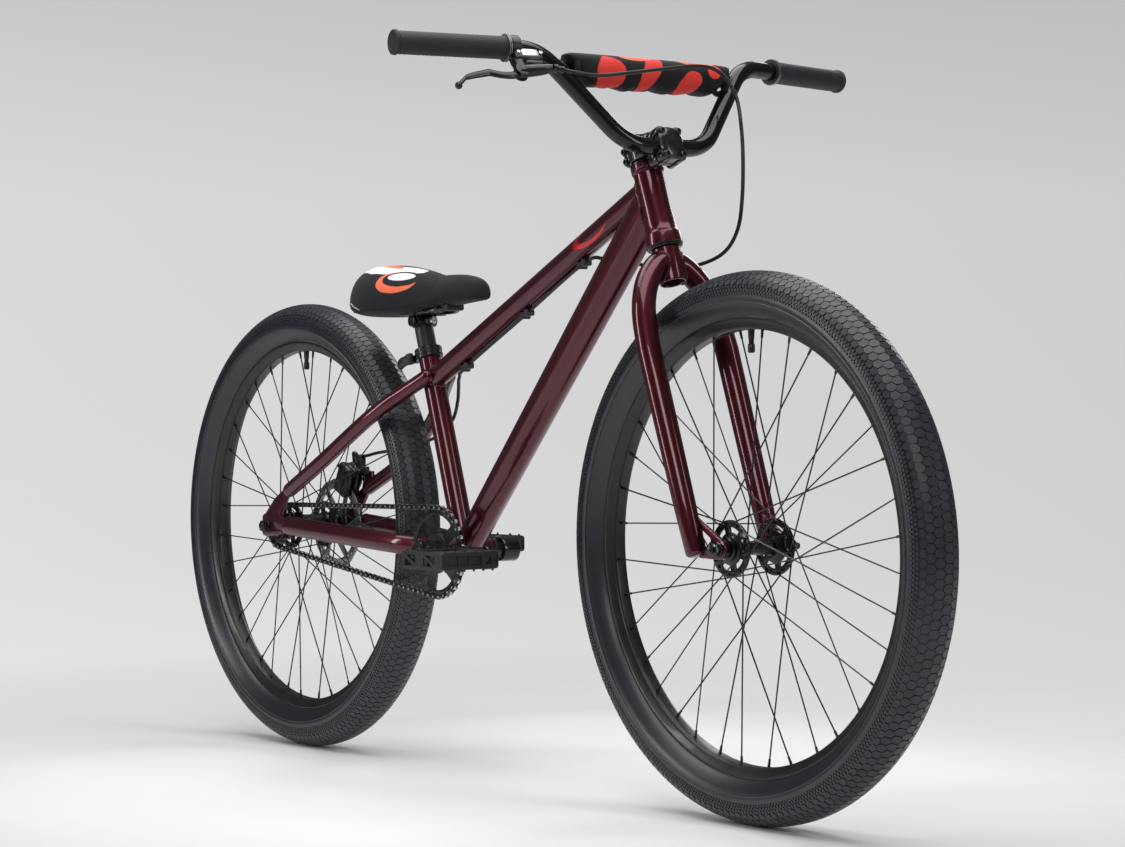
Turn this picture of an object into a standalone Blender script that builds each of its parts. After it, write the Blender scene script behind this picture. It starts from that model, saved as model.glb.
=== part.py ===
"""Single-speed hardtail bicycle: steel frame, rigid fork, crossbar handlebar, rear disc brake.

Metres, +X forward, +Y to the rider's left, +Z up. The origin is on the ground, midway between
the two tyres' contact points. Every moving piece hangs from an empty on its joint's axis.
"""
import math

import bmesh
import bpy
from mathutils import Euler, Matrix, Vector

# Gap between pieces that touch or slide on each other
GAP = 0.0003

# Wheels: 26 inch tyres, 68 mm wide, on 31 mm rims
TYRE_RADIUS = 0.340
TYRE_SECTION_RADIUS = 0.0305
TYRE_HALF_WIDTH = 0.0330
RIM_INNER_RADIUS = 0.2677
RIM_OUTER_RADIUS = 0.2855
RIM_HALF_WIDTH = 0.0156
WHEELBASE = 1.0572
WHEEL_STEPS = 28
SPOKES_PER_SIDE = 18
SPOKE_RADIUS = 0.0012
FLANGE_RADIUS = 0.0355
FRONT_FLANGE_Y = 0.0355
REAR_FLANGE_Y = 0.0300
FRONT_HUB = Vector((WHEELBASE / 2, 0, TYRE_RADIUS))
REAR_HUB = Vector((-WHEELBASE / 2, 0, TYRE_RADIUS))

# Drive: 31 teeth to 16, with a taut chain of 92 half-inch links
PITCH = 0.0127
RING_TEETH = 31
COG_TEETH = 16
LINKS = 92
CHAIN_Y = -0.0500
BRACKET_DROP = 0.0256
CHAINSTAY_LENGTH = 0.43388
CRANK_LENGTH = 0.170
SPINDLE_RADIUS = 0.0120
BRACKET_X = REAR_HUB.x + math.sqrt(CHAINSTAY_LENGTH ** 2 - BRACKET_DROP ** 2)
BRACKET = Vector((BRACKET_X, 0, TYRE_RADIUS - BRACKET_DROP))

# Steering: head angle 71 degrees, the legs in line with the steerer, dropouts 36 mm forward
HEAD_ANGLE = math.radians(71)
STEER_POINT = Vector((0.341, 0, 0.775))
STEER_TURN = Euler((0, HEAD_ANGLE - math.pi / 2, 0))
HEAD_TOP = 0.0525
HEAD_BOTTOM = -0.0595
STEERER_RADIUS = 0.0143
STEM_REACH = 0.0442
BAR_CLAMP_HEIGHT = 0.0591
BAR_RADIUS = 0.0111

# Seat tube and seatpost
SEAT_ANGLE = math.radians(72)
SEAT_UP = Vector((-math.cos(SEAT_ANGLE), 0, math.sin(SEAT_ANGLE)))
SEAT_TUBE_RADIUS = 0.0159
SEAT_TUBE_LENGTH = 0.3000
POST_RADIUS = 0.0136
POST_BOTTOM = 0.165
POST_TOP = 0.338

# Main tubes, each on a line between two points of the middle plane
TOP_TUBE_RADIUS = 0.0159
TOP_TUBE_REAR = Vector((-0.1742, 0, 0.5571))
TOP_TUBE_FRONT = Vector((0.3336, 0, 0.7963))
DOWN_TUBE_REAR = Vector((-0.0925, 0, 0.3206))
DOWN_TUBE_FRONT = Vector((0.3392, 0, 0.7812))
DOWN_TUBE_REAR_SIZE = (0.0195, 0.0205)
DOWN_TUBE_FRONT_SIZE = (0.0290, 0.0190)
WALL = 0.0012
SHELL_RADIUS = 0.0200
SHELL_HALF_WIDTH = 0.0365

# Dropouts and axles: 135 mm between the rear ones, 100 mm between the front ones
REAR_DROPOUT_Y = 0.0676
DROPOUT_THICKNESS = 0.0060
REAR_AXLE_RADIUS = 0.0050
FORK_DROPOUT_Y = 0.0503
FRONT_AXLE_RADIUS = 0.0045

# Rear disc brake, on the left
ROTOR_RADIUS = 0.0700
ROTOR_Y = 0.0520
ROTOR_HALF_THICKNESS = 0.0009
CALIPER_OFFSET = Vector((0.0350, 0, 0.0686))
PAD_RADIUS = 0.0600

# Turns that lay a shape's own Z axis along Y, or its XY plane in the XZ plane
AXLE_TURN = Euler((-math.pi / 2, 0, 0))
PLATE_TURN = Euler((math.pi / 2, 0, 0))


def clear_scene():
    """Remove every object of the file that the script runs in."""
    for thing in list(bpy.data.objects):
        bpy.data.objects.remove(thing, do_unlink=True)


def new_collection(name):
    group = bpy.data.collections.new(name)
    bpy.context.scene.collection.children.link(group)
    return group


def new_material(name, colour, roughness, metallic):
    material = bpy.data.materials.new(name)
    material.use_nodes = True
    shader = material.node_tree.nodes["Principled BSDF"]
    shader.inputs["Base Color"].default_value = (*colour, 1)
    shader.inputs["Roughness"].default_value = roughness
    shader.inputs["Metallic"].default_value = metallic
    material.diffuse_color = (*colour, 1)
    return material


clear_scene()
PARTS = new_collection("hardtail_bicycle")
CUTTERS = new_collection("cutters")
PAINT = new_material("burgundy_paint", (0.085, 0.006, 0.014), 0.18, 0.35)
GLOSS_BLACK = new_material("gloss_black", (0.008, 0.008, 0.009), 0.20, 0.0)
SATIN_BLACK = new_material("satin_black", (0.014, 0.014, 0.016), 0.38, 0.2)
RUBBER = new_material("rubber", (0.018, 0.019, 0.021), 0.70, 0.0)
PLASTIC = new_material("black_plastic", (0.016, 0.016, 0.018), 0.50, 0.0)
FABRIC = new_material("black_fabric", (0.012, 0.012, 0.013), 0.85, 0.0)
STEEL = new_material("bright_steel", (0.55, 0.55, 0.56), 0.30, 1.0)


def empty(name, location, rotation=None, parent=None):
    """An axis or a place that pieces hang from."""
    thing = bpy.data.objects.new(name, None)
    thing.location = location
    if rotation:
        thing.rotation_euler = rotation
    thing.parent = parent
    PARTS.objects.link(thing)
    return thing


def new_object(name, mesh, material, location=(0, 0, 0), rotation=None, parent=None, crease=35):
    """Put a mesh in the scene, smooth except at edges sharper than the crease angle."""
    if len(mesh.polygons):
        mesh.shade_smooth()
        mesh.set_sharp_from_angle(angle=math.radians(crease))
    if material:
        mesh.materials.clear()
        mesh.materials.append(material)
    thing = bpy.data.objects.new(name, mesh)
    thing.location = location
    if rotation:
        thing.rotation_euler = rotation
    thing.parent = parent
    PARTS.objects.link(thing)
    return thing


def hide(tool):
    """Turn an object into a cutter that isn't part of the model."""
    tool.hide_render = True
    tool.display_type = "WIRE"
    PARTS.objects.unlink(tool)
    CUTTERS.objects.link(tool)


def combine(target, tool, operation):
    modifier = target.modifiers.new(tool.name, "BOOLEAN")
    modifier.operation = operation
    modifier.solver = "EXACT"
    modifier.object = tool


def cut(target, *tools):
    for tool in tools:
        combine(target, tool, "DIFFERENCE")
        if not tool.hide_render:
            hide(tool)


def join(target, *tools):
    for tool in tools:
        combine(target, tool, "UNION")
        if not tool.hide_render:
            hide(tool)


def bevel(thing, width, segments=2):
    modifier = thing.modifiers.new("bevel", "BEVEL")
    modifier.width = width
    modifier.segments = segments
    modifier.limit_method = "ANGLE"


def finish_mesh(name, builder):
    mesh = bpy.data.meshes.new(name)
    builder.to_mesh(mesh)
    builder.free()
    return mesh


def clear_bore(radius, sides):
    """Radius of a polygon hole whose flats clear a round bar by the gap."""
    return (radius + GAP) / math.cos(math.pi / sides)


def turn_towards(direction):
    return Vector(direction).to_track_quat("Z", "Y").to_euler()


def box(name, low, high, material=None, rotation=None, parent=None, centre=None):
    """A block between two corners, or turned about its own centre."""
    low = Vector(low)
    high = Vector(high)
    builder = bmesh.new()
    bmesh.ops.create_cube(builder, size=1)
    bmesh.ops.scale(builder, vec=high - low, verts=builder.verts)
    middle = (low + high) / 2 if centre is None else Vector(centre)
    return new_object(name, finish_mesh(name, builder), material, middle, rotation, parent)


def rod(name, start, end, radius, sides=12, end_radius=None, material=None, parent=None):
    """A round bar or cone between two points."""
    start = Vector(start)
    end = Vector(end)
    builder = bmesh.new()
    bmesh.ops.create_cone(
        builder, cap_ends=True, segments=sides, depth=(end - start).length,
        radius1=radius, radius2=radius if end_radius is None else end_radius,
    )
    mesh = finish_mesh(name, builder)
    return new_object(name, mesh, material, (start + end) / 2, turn_towards(end - start), parent)


def turned(name, profile, steps, material=None, location=(0, 0, 0), rotation=None, parent=None,
           closed=False):
    """A turned piece: (radius, height) points down the outer side, then up the inner one."""
    mesh = bpy.data.meshes.new(name)
    edges = [(i, i + 1) for i in range(len(profile) - 1)]
    if closed:
        edges.append((len(profile) - 1, 0))
    mesh.from_pydata([(radius, 0, height) for radius, height in profile], edges, [])
    thing = new_object(name, mesh, material, location, rotation, parent)
    screw = thing.modifiers.new("turn", "SCREW")
    screw.steps = steps
    screw.render_steps = steps
    screw.use_merge_vertices = True
    screw.merge_threshold = 0.00001
    return thing


def curve_mesh(name, curve):
    """The mesh of a curve, its caps welded on."""
    carrier = bpy.data.objects.new(name, curve)
    bpy.context.scene.collection.objects.link(carrier)
    bpy.context.view_layer.update()
    evaluated = carrier.evaluated_get(bpy.context.evaluated_depsgraph_get())
    mesh = bpy.data.meshes.new_from_object(evaluated)
    bpy.data.objects.remove(carrier, do_unlink=True)
    bpy.data.curves.remove(curve)
    builder = bmesh.new()
    builder.from_mesh(mesh)
    bmesh.ops.remove_doubles(builder, verts=builder.verts, dist=0.000001)
    builder.to_mesh(mesh)
    builder.free()
    return mesh


def tube(name, points, radii, sides, material=None, parent=None, wall=None, flatten=1.0):
    """A round bar or pipe along points. Flatten below 1 narrows it along Y."""
    if not isinstance(radii, (list, tuple)):
        radii = [radii] * len(points)
    curve = bpy.data.curves.new(name, "CURVE")
    curve.dimensions = "3D"
    curve.bevel_depth = 1.0
    curve.bevel_resolution = (sides - 4) // 2
    curve.use_fill_caps = wall is None
    spline = curve.splines.new("POLY")
    spline.points.add(len(points) - 1)
    for place, point, radius in zip(spline.points, points, radii):
        place.co = (point[0], point[1] / flatten, point[2], 1)
        place.radius = radius
    mesh = curve_mesh(name, curve)
    mesh.transform(Matrix.Diagonal((1, flatten, 1, 1)))
    thing = new_object(name, mesh, material, parent=parent)
    if wall:
        shell = thing.modifiers.new("wall", "SOLIDIFY")
        shell.thickness = wall
        shell.offset = -1
    return thing


def plate(name, outline, thickness, material=None, holes=(), location=(0, 0, 0),
          rotation=PLATE_TURN, parent=None):
    """A flat piece: an outline and holes in its own XY plane, extruded both ways."""
    curve = bpy.data.curves.new(name, "CURVE")
    curve.dimensions = "2D"
    curve.fill_mode = "BOTH"
    curve.extrude = thickness / 2
    for loop in [outline, *holes]:
        spline = curve.splines.new("POLY")
        spline.points.add(len(loop) - 1)
        for place, point in zip(spline.points, loop):
            place.co = (point[0], point[1], 0, 1)
        spline.use_cyclic_u = True
    return new_object(name, curve_mesh(name, curve), material, location, rotation, parent)


def arc(centre, radius, start, end, count):
    """Points on an arc, angles in degrees."""
    angles = [math.radians(start + (end - start) * i / count) for i in range(count + 1)]
    return [(centre[0] + radius * math.cos(a), centre[1] + radius * math.sin(a)) for a in angles]


def circle(centre, radius, count):
    return arc(centre, radius, 0, 360, count)[:-1]


def smooth_path(points, per_span):
    """A Catmull-Rom curve through points, sampled evenly in each span."""
    points = [Vector(p) for p in points]
    ends = [2 * points[0] - points[1], *points, 2 * points[-1] - points[-2]]
    path = []
    for before, start, end, after in zip(ends, ends[1:], ends[2:], ends[3:]):
        for i in range(per_span):
            t = i / per_span
            path.append(0.5 * (
                2 * start + (end - before) * t
                + (2 * before - 5 * start + 4 * end - after) * t * t
                + (3 * start - before - 3 * end + after) * t ** 3
            ))
    path.append(points[-1])
    return path


def rounded_path(points, radii, steps):
    """Straight runs between points, joined by arcs of the given radii."""
    points = [Vector(p) for p in points]
    path = [points[0]]
    for before, corner, after, radius in zip(points, points[1:], points[2:], radii):
        towards_start = (before - corner).normalized()
        towards_end = (after - corner).normalized()
        half_angle = towards_start.angle(towards_end) / 2
        reach = radius / math.tan(half_angle)
        middle = (towards_start + towards_end).normalized()
        centre = corner + middle * radius / math.sin(half_angle)
        first = corner + towards_start * reach - centre
        last = corner + towards_end * reach - centre
        sweep = first.angle(last)
        for i in range(steps + 1):
            t = i / steps
            blend = first * math.sin((1 - t) * sweep) + last * math.sin(t * sweep)
            path.append(centre + blend / math.sin(sweep))
    path.append(points[-1])
    return path


def mirrored(points):
    return [Vector((p[0], -p[1], p[2])) for p in points]


# Frame

def on_seat_line(distance, back=0.0, side=0.0):
    """A place by its distance up the seat tube from the bracket, and behind and beside it."""
    behind = Vector((-math.sin(SEAT_ANGLE), 0, -math.cos(SEAT_ANGLE)))
    return BRACKET + SEAT_UP * distance + behind * back + Vector((0, side, 0))


def straight_tube(name, start, end, radius, extra=0.0, material=None, sides=16):
    """An open-ended tube with a wall, or a solid one that cuts when extra is given."""
    if extra:
        return rod(name, start, end, radius + extra, sides)
    builder = bmesh.new()
    bmesh.ops.create_cone(
        builder, cap_ends=False, segments=sides, depth=(end - start).length,
        radius1=radius, radius2=radius,
    )
    mesh = finish_mesh(name, builder)
    thing = new_object(name, mesh, material, (start + end) / 2, turn_towards(end - start))
    shell = thing.modifiers.new("wall", "SOLIDIFY")
    shell.thickness = WALL
    shell.offset = -1
    return thing


def down_tube_shape(name, extra=0.0, material=None):
    """An oval cone, deeper than wide at the head. With extra it is solid and cuts."""
    axis = DOWN_TUBE_FRONT - DOWN_TUBE_REAR
    builder = bmesh.new()
    bmesh.ops.create_cone(
        builder, cap_ends=bool(extra), segments=14, depth=axis.length, radius1=1, radius2=1,
    )
    for vertex in builder.verts:
        t = vertex.co.z / axis.length + 0.5
        depth, width = (
            rear + (front - rear) * t + extra
            for rear, front in zip(DOWN_TUBE_REAR_SIZE, DOWN_TUBE_FRONT_SIZE)
        )
        vertex.co.x *= depth
        vertex.co.y *= width
    lean = Euler((0, math.atan2(axis.x, axis.z), 0))
    mesh = finish_mesh(name, builder)
    thing = new_object(name, mesh, material, (DOWN_TUBE_REAR + DOWN_TUBE_FRONT) / 2, lean)
    if not extra:
        shell = thing.modifiers.new("wall", "SOLIDIFY")
        shell.thickness = WALL
        shell.offset = -1
    return thing


HEAD_OUTLINE = [
    (0.0212, HEAD_TOP), (0.0212, 0.0445), (0.0193, 0.0400), (0.0193, -0.0080), (0.0213, -0.0400),
    (0.0238, -0.0440), (0.0238, HEAD_BOTTOM),
]


def head_tube():
    inside = [
        (0.0205, HEAD_BOTTOM), (0.0205, -0.0510), (0.0165, -0.0510), (0.0165, 0.0440),
        (0.0189, 0.0440), (0.0189, HEAD_TOP),
    ]
    turned("head_tube", HEAD_OUTLINE + inside, 16, PAINT, STEER_POINT, STEER_TURN, closed=True)
    solid = [(radius + GAP, height) for radius, height in HEAD_OUTLINE]
    profile = [(0, HEAD_TOP), *solid, (0, HEAD_BOTTOM)]
    return turned("head_cutter", profile, 16, None, STEER_POINT, STEER_TURN)


def frame_dropout(name, side, outline, hole=()):
    """A rear dropout plate, and a slightly larger copy that slots the stays."""
    middle = side * (REAR_DROPOUT_Y + DROPOUT_THICKNESS / 2)
    place = REAR_HUB + Vector((0, middle, 0))
    plate(name, outline, DROPOUT_THICKNESS, PAINT, hole, place)
    return plate(name + "_slot", outline, DROPOUT_THICKNESS + 2 * GAP, None, hole, place)


def frame():
    head_cutter = head_tube()
    shell_side = Vector((0, SHELL_HALF_WIDTH, 0))
    shell = [
        (SHELL_RADIUS, SHELL_HALF_WIDTH), (SHELL_RADIUS, -SHELL_HALF_WIDTH),
        (0.0172, -SHELL_HALF_WIDTH), (0.0172, SHELL_HALF_WIDTH),
    ]
    turned("bottom_bracket_shell", shell, 20, PAINT, BRACKET, AXLE_TURN, closed=True)
    shell_cutter = rod(
        "shell_cutter", BRACKET - shell_side * 1.1, BRACKET + shell_side * 1.1, SHELL_RADIUS + GAP, 20,
    )
    seat_foot = BRACKET
    seat_head = on_seat_line(SEAT_TUBE_LENGTH)
    seat_tube = straight_tube("seat_tube", seat_foot, seat_head, SEAT_TUBE_RADIUS, material=PAINT)
    seat_tube.modifiers["wall"].thickness = 0.0020
    seat_cutter = straight_tube("seat_cutter", seat_foot, seat_head, SEAT_TUBE_RADIUS, GAP)
    cut(seat_tube, shell_cutter)
    top_cutter = straight_tube("top_cutter", TOP_TUBE_REAR, TOP_TUBE_FRONT, TOP_TUBE_RADIUS, GAP)
    top_tube = straight_tube(
        "top_tube", TOP_TUBE_REAR, TOP_TUBE_FRONT, TOP_TUBE_RADIUS, material=PAINT,
    )
    down_tube = down_tube_shape("down_tube", material=PAINT)
    cut(down_tube, head_cutter, shell_cutter, seat_cutter)
    cut(top_tube, head_cutter, seat_cutter, down_tube_shape("down_cutter", GAP))
    rear_triangle(shell_cutter, seat_cutter, top_cutter)


def dropout_outline(tab=()):
    """Outline from the hub: rearward axle slot, and tongues inside the ends of both stays."""
    slot = REAR_AXLE_RADIUS + GAP
    return [
        (-0.0330, slot), *arc((0.0040, 0), slot, 90, -90, 6), (-0.0330, -slot),
        (-0.0310, -0.0125), (-0.0120, -0.0165), (0.0300, -0.0130), (0.0620, -0.0070),
        (0.0620, 0.0110), (0.0430, 0.0130), (0.0400, 0.0210), (0.0650, 0.0500),
        *(tab or [(0.0620, 0.0610)]), (0.0500, 0.0560), (-0.0020, 0.0310), (-0.0220, 0.0200),
        (-0.0330, 0.0110),
    ]


def rear_triangle(shell_cutter, seat_cutter, top_cutter):
    chainstay = [
        (-0.1040, 0.0235, 0.3150), (-0.1600, 0.0320, 0.3195), (-0.2070, 0.0490, 0.3236),
        (-0.2800, 0.0590, 0.3292), (-0.3800, 0.0645, 0.3360), (-0.4780, 0.0690, 0.3425),
    ]
    seatstay = [
        (-0.1640, 0.0180, 0.5620), (-0.2073, 0.0355, 0.5369), (-0.2420, 0.0510, 0.5150),
        (-0.2830, 0.0620, 0.4885), (-0.3722, 0.0725, 0.4365), (-0.4690, 0.0700, 0.3935),
    ]
    brake_tab = [(0.0780, 0.0690), (0.0760, 0.0820), (0.0560, 0.0820), (0.0510, 0.0620)]
    plain = frame_dropout("dropout_right", -1, dropout_outline())
    tabbed = frame_dropout("dropout_left", 1, dropout_outline(brake_tab))
    for name, side, slot_cutter in (("right", -1, plain), ("left", 1, tabbed)):
        for stay, path, radius, flatten in (
            ("chainstay_", chainstay, 0.0145, 0.74), ("seatstay_", seatstay, 0.0108, 1.0),
        ):
            ends = [Vector(p) for p in path] if side > 0 else mirrored(path)
            smooth = smooth_path(ends, 2)
            thing = tube(stay + name, smooth, radius, 8, PAINT, flatten=flatten)
            near = [shell_cutter] if stay == "chainstay_" else [seat_cutter, top_cutter]
            cut(thing, *near, slot_cutter)


def headset():
    upper = [
        (0.0165, 0.0578), (0.0205, 0.0545), (0.0205, HEAD_TOP + GAP), (0.0186, HEAD_TOP + GAP),
        (0.0186, 0.0445), (0.0146, 0.0445), (0.0146, 0.0578),
    ]
    lower = [
        (0.0202, -0.0515), (0.0202, HEAD_BOTTOM - GAP), (0.0225, HEAD_BOTTOM - GAP),
        (0.0205, -0.0632), (0.0158, -0.0632), (0.0146, -0.0515),
    ]
    for name, profile in (("headset_upper_bearing", upper), ("headset_lower_bearing", lower)):
        turned(name, profile, 16, SATIN_BLACK, STEER_POINT, STEER_TURN, closed=True)


def bottom_bracket():
    end = SHELL_HALF_WIDTH + GAP
    profile = [
        (0.0195, 0.0430), (0.0195, end), (0.0168, end), (0.0168, -end), (0.0195, -end),
        (0.0195, -0.0430), (SPINDLE_RADIUS + 0.0008, -0.0430), (SPINDLE_RADIUS + 0.0008, 0.0430),
    ]
    turned("bottom_bracket_bearings", profile, 14, SATIN_BLACK, BRACKET, AXLE_TURN, closed=True)


def seat_clamp():
    """The collar round the seat tube's top, its skewer, and the quick release lever."""
    low = SEAT_TUBE_LENGTH - 0.0120
    high = SEAT_TUBE_LENGTH + 0.0030
    inner = SEAT_TUBE_RADIUS + GAP
    lean = Euler((0, SEAT_ANGLE - math.pi / 2, 0))
    collar = turned(
        "seat_clamp", [(0.0200, high), (0.0200, low), (inner, low), (inner, high)], 16,
        SATIN_BLACK, BRACKET, lean, closed=True,
    )
    middle = (low + high) / 2
    ears = box("clamp_ears", (-0.006, -0.011, -0.006), (0.006, 0.011, 0.006), rotation=lean,
               centre=on_seat_line(middle, 0.0240))
    skewer = rod("skewer", on_seat_line(middle, 0.0240, 0.0200),
                 on_seat_line(middle, 0.0240, -0.0120), 0.0040, 8)
    join(collar, ears, skewer)
    pivot_place = on_seat_line(middle, 0.0240, -0.0175)
    pivot = empty("seat_clamp_lever_axis", pivot_place, lean)
    lever = rod("seat_clamp_lever", (0, 0, -0.0065), (0, 0, 0.0065), 0.0050, 10,
                material=SATIN_BLACK, parent=pivot)
    blade = [(0, -0.0005, 0), (-0.0120, -0.0030, 0), (-0.0220, -0.0020, 0), (-0.0290, 0.0020, 0)]
    join(lever, tube("lever_blade", blade, [0.0042, 0.0040, 0.0042, 0.0036], 8, parent=pivot))


# Brake cable and its guides

def under_top_tube(x, drop=0.0193):
    """A place below the top tube's middle line, at a distance square to it."""
    axis = (TOP_TUBE_FRONT - TOP_TUBE_REAR).normalized()
    t = (x - TOP_TUBE_REAR.x) / axis.x
    return TOP_TUBE_REAR + axis * t + Vector((axis.z, 0, -axis.x)) * drop


GUIDE_X = (0.1800, 0.0490, -0.0980)
CABLE_RADIUS = 0.0025

CABLE_ROUTE = [
    (0.3640, -0.1590, 0.9325), (0.3690, -0.1445, 0.9300), (0.3710, -0.1056, 0.9290),
    (0.3690, -0.0259, 0.9410), (0.3650, 0.0500, 0.9520), (0.3640, 0.0900, 0.9470),
    (0.3780, 0.1050, 0.9170), (0.3945, 0.1000, 0.8766), (0.4037, 0.0950, 0.8307),
    (0.4070, 0.0900, 0.7788), (0.4020, 0.0860, 0.7400), (0.3840, 0.0780, 0.7120),
    (0.3520, 0.0620, 0.6975), (0.3050, 0.0450, 0.6935), (0.2550, 0.0330, 0.7040),
    (0.2150, 0.0140, 0.7115), *(tuple(under_top_tube(x)) for x in GUIDE_X),
    (-0.1180, 0.0060, 0.5600), (-0.1350, 0.0160, 0.5440), (-0.1500, 0.0240, 0.5240),
    (-0.1750, 0.0330, 0.5010), (-0.2200, 0.0430, 0.4800), (-0.2800, 0.0490, 0.4655),
    (-0.3500, 0.0550, 0.4562), (-0.4250, 0.0643, 0.4505), (-0.4700, 0.0690, 0.4452),
    (-0.4960, 0.0697, 0.4432),
]


def cable():
    path = smooth_path(CABLE_ROUTE, 2)
    tube("brake_cable", path, CABLE_RADIUS, 8, RUBBER)
    passage = hide_later(tube("cable_passage", path, CABLE_RADIUS + GAP, 8))
    axis = TOP_TUBE_FRONT - TOP_TUBE_REAR
    lean = Euler((0, -math.atan2(axis.z, axis.x), 0))
    for name, x in zip(("front", "middle", "rear"), GUIDE_X):
        guide = box("cable_guide_" + name, (-0.010, -0.0065, -0.0048), (0.010, 0.0065, 0.0048),
                    PLASTIC, lean, centre=under_top_tube(x, TOP_TUBE_RADIUS + GAP + 0.0048))
        cut(guide, passage)


def hide_later(tool):
    hide(tool)
    return tool


# Disc brake

def brake():
    """Mechanical caliper straddling the rotor, its moving pad and its arm."""
    centre = REAR_HUB + CALIPER_OFFSET
    tilt = Euler((0, math.atan2(CALIPER_OFFSET.x, CALIPER_OFFSET.z), 0))
    middle_y = 0.0525
    caliper = box("brake_caliper", (-0.0165, -0.0145, -0.0240), (0.0165, 0.0145, 0.0240), SATIN_BLACK,
                  tilt, centre=centre + Vector((0, middle_y, 0)))
    bevel(caliper, 0.004)
    ear = box("caliper_ear", (-0.0300, -0.0030, -0.0060), (0.0300, 0.0030, 0.0060),
              rotation=Euler((0, math.radians(-14), 0)),
              centre=REAR_HUB + Vector((0.0460, 0.0635, 0.0765)))
    stop = box("cable_stop", (-0.0045, -0.0070, -0.0115), (0.0045, 0.0070, 0.0115),
               centre=REAR_HUB + Vector((0.0486, 0.0665, 0.0960)))
    join(caliper, ear, stop)
    slot_half = ROTOR_HALF_THICKNESS + 0.0004
    rotor_slot = rod("rotor_slot", REAR_HUB + Vector((0, ROTOR_Y - slot_half, 0)),
                     REAR_HUB + Vector((0, ROTOR_Y + slot_half, 0)), ROTOR_RADIUS + 0.0025, 32)
    pad_inner = ROTOR_Y + ROTOR_HALF_THICKNESS + 0.0005
    pad_at = REAR_HUB + CALIPER_OFFSET.normalized() * PAD_RADIUS + Vector((0, pad_inner + 0.0015, 0))
    pocket = box("pad_pocket", (-0.0093, -0.0022, -0.0088), (0.0093, 0.0022, 0.0088), rotation=tilt,
                 centre=pad_at)
    cut(caliper, rotor_slot, pocket, bpy.data.objects["cable_passage"])
    slide = empty("moving_pad_slide", pad_at)
    box("moving_brake_pad", (-0.0090, -0.0015, -0.0085), (0.0090, 0.0015, 0.0085), STEEL, tilt,
        parent=slide, centre=(0, 0, 0))
    arm_pivot = empty("brake_arm_axis", centre + Vector((0, 0.0697, 0)))
    tip = Vector((-0.0100, 0, 0.0387))
    arm_outline = [
        *arc((0, 0), 0.0090, 165, 375, 8), (tip.x + 0.0045, tip.z - 0.0040),
        *arc((tip.x, tip.z), 0.0050, 0, 180, 5),
    ]
    plate("brake_arm", arm_outline, 0.0046, SATIN_BLACK, parent=arm_pivot)


def brake_rotor(parent):
    windows = []
    for i in range(5):
        start = 72 * i
        outer = arc((0, 0), 0.0560, start + 8, start + 64, 3)
        inner = arc((0, 0), 0.0290, start + 56, start + 16, 2)
        windows.append(outer + inner)
    plate("brake_rotor", circle((0, 0), ROTOR_RADIUS, 32), 2 * ROTOR_HALF_THICKNESS, STEEL,
          [circle((0, 0), 0.0178, 12), *windows], (0, ROTOR_Y, 0), parent=parent)


# Wheels

def tyre_profile():
    """Casing section: round outside, open towards the rim, with a bead on each side."""
    section = TYRE_RADIUS - TYRE_SECTION_RADIUS
    outer = [
        (section + TYRE_SECTION_RADIUS * math.cos(a), TYRE_HALF_WIDTH * math.sin(a))
        for a in (math.radians(d) for d in range(120, -121, -40))
    ]
    inner = [
        (section + 0.0270 * math.cos(a), 0.0300 * math.sin(a))
        for a in (math.radians(d) for d in (-75, 0, 75))
    ]
    bead = [(0.2862, 0.0116), (0.2806, 0.0116), (0.2875, 0.0090)]
    low_bead = [(radius, -width) for radius, width in bead]
    return outer + low_bead + inner + bead[::-1]


def rim_profile():
    """A deep channel: sloping sides, flat bed, and open outwards for the tyre's beads."""
    half = [
        (RIM_OUTER_RADIUS, RIM_HALF_WIDTH - 0.0021), (RIM_OUTER_RADIUS, RIM_HALF_WIDTH),
        (RIM_INNER_RADIUS, 0.0095),
    ]
    down = [(radius, -width) for radius, width in half[::-1]]
    return half + down + [(0.2750, -0.0105), (0.2750, 0.0105)]


def spokes(name, side, flange_y, phase, parent):
    """One side's spokes, three-cross, as one lattice fused where they cross."""
    hole_radius = 0.0310
    rim_radius = RIM_INNER_RADIUS * math.cos(math.pi / WHEEL_STEPS) - 0.0008
    steps = 360 / SPOKES_PER_SIDE
    lattice = bmesh.new()
    pieces = []
    for i in range(SPOKES_PER_SIDE):
        rim_angle = math.radians(phase + steps * i)
        cross = math.radians(60 if i % 2 else -60)
        hub_end = Vector((math.cos(rim_angle + cross), 0, math.sin(rim_angle + cross))) * hole_radius
        rim_end = Vector((math.cos(rim_angle), 0, math.sin(rim_angle))) * rim_radius
        run = rim_end - hub_end
        foot = -hub_end.dot(run) / run.length_squared
        away = math.sqrt((FLANGE_RADIUS + 0.0008) ** 2 - (hub_end + run * foot).length_squared)
        start = hub_end + run * (foot + away / run.length)
        start.y = side * (flange_y - 0.0005)
        rim_end.y = side * 0.0020
        pieces.append((start, rim_end))
    for start, end in pieces[:-1]:
        direction = end - start
        matrix = Matrix.Translation((start + end) / 2) @ direction.to_track_quat("Z", "Y").to_matrix().to_4x4()
        bmesh.ops.create_cone(
            lattice, cap_ends=True, segments=3, depth=direction.length, radius1=SPOKE_RADIUS,
            radius2=SPOKE_RADIUS, matrix=matrix,
        )
    thing = new_object(name, finish_mesh(name, lattice), SATIN_BLACK, parent=parent)
    last = rod(name + "_last", *pieces[-1], SPOKE_RADIUS, 3, parent=parent)
    join(thing, last)
    thing.modifiers[-1].use_self = True


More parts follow.
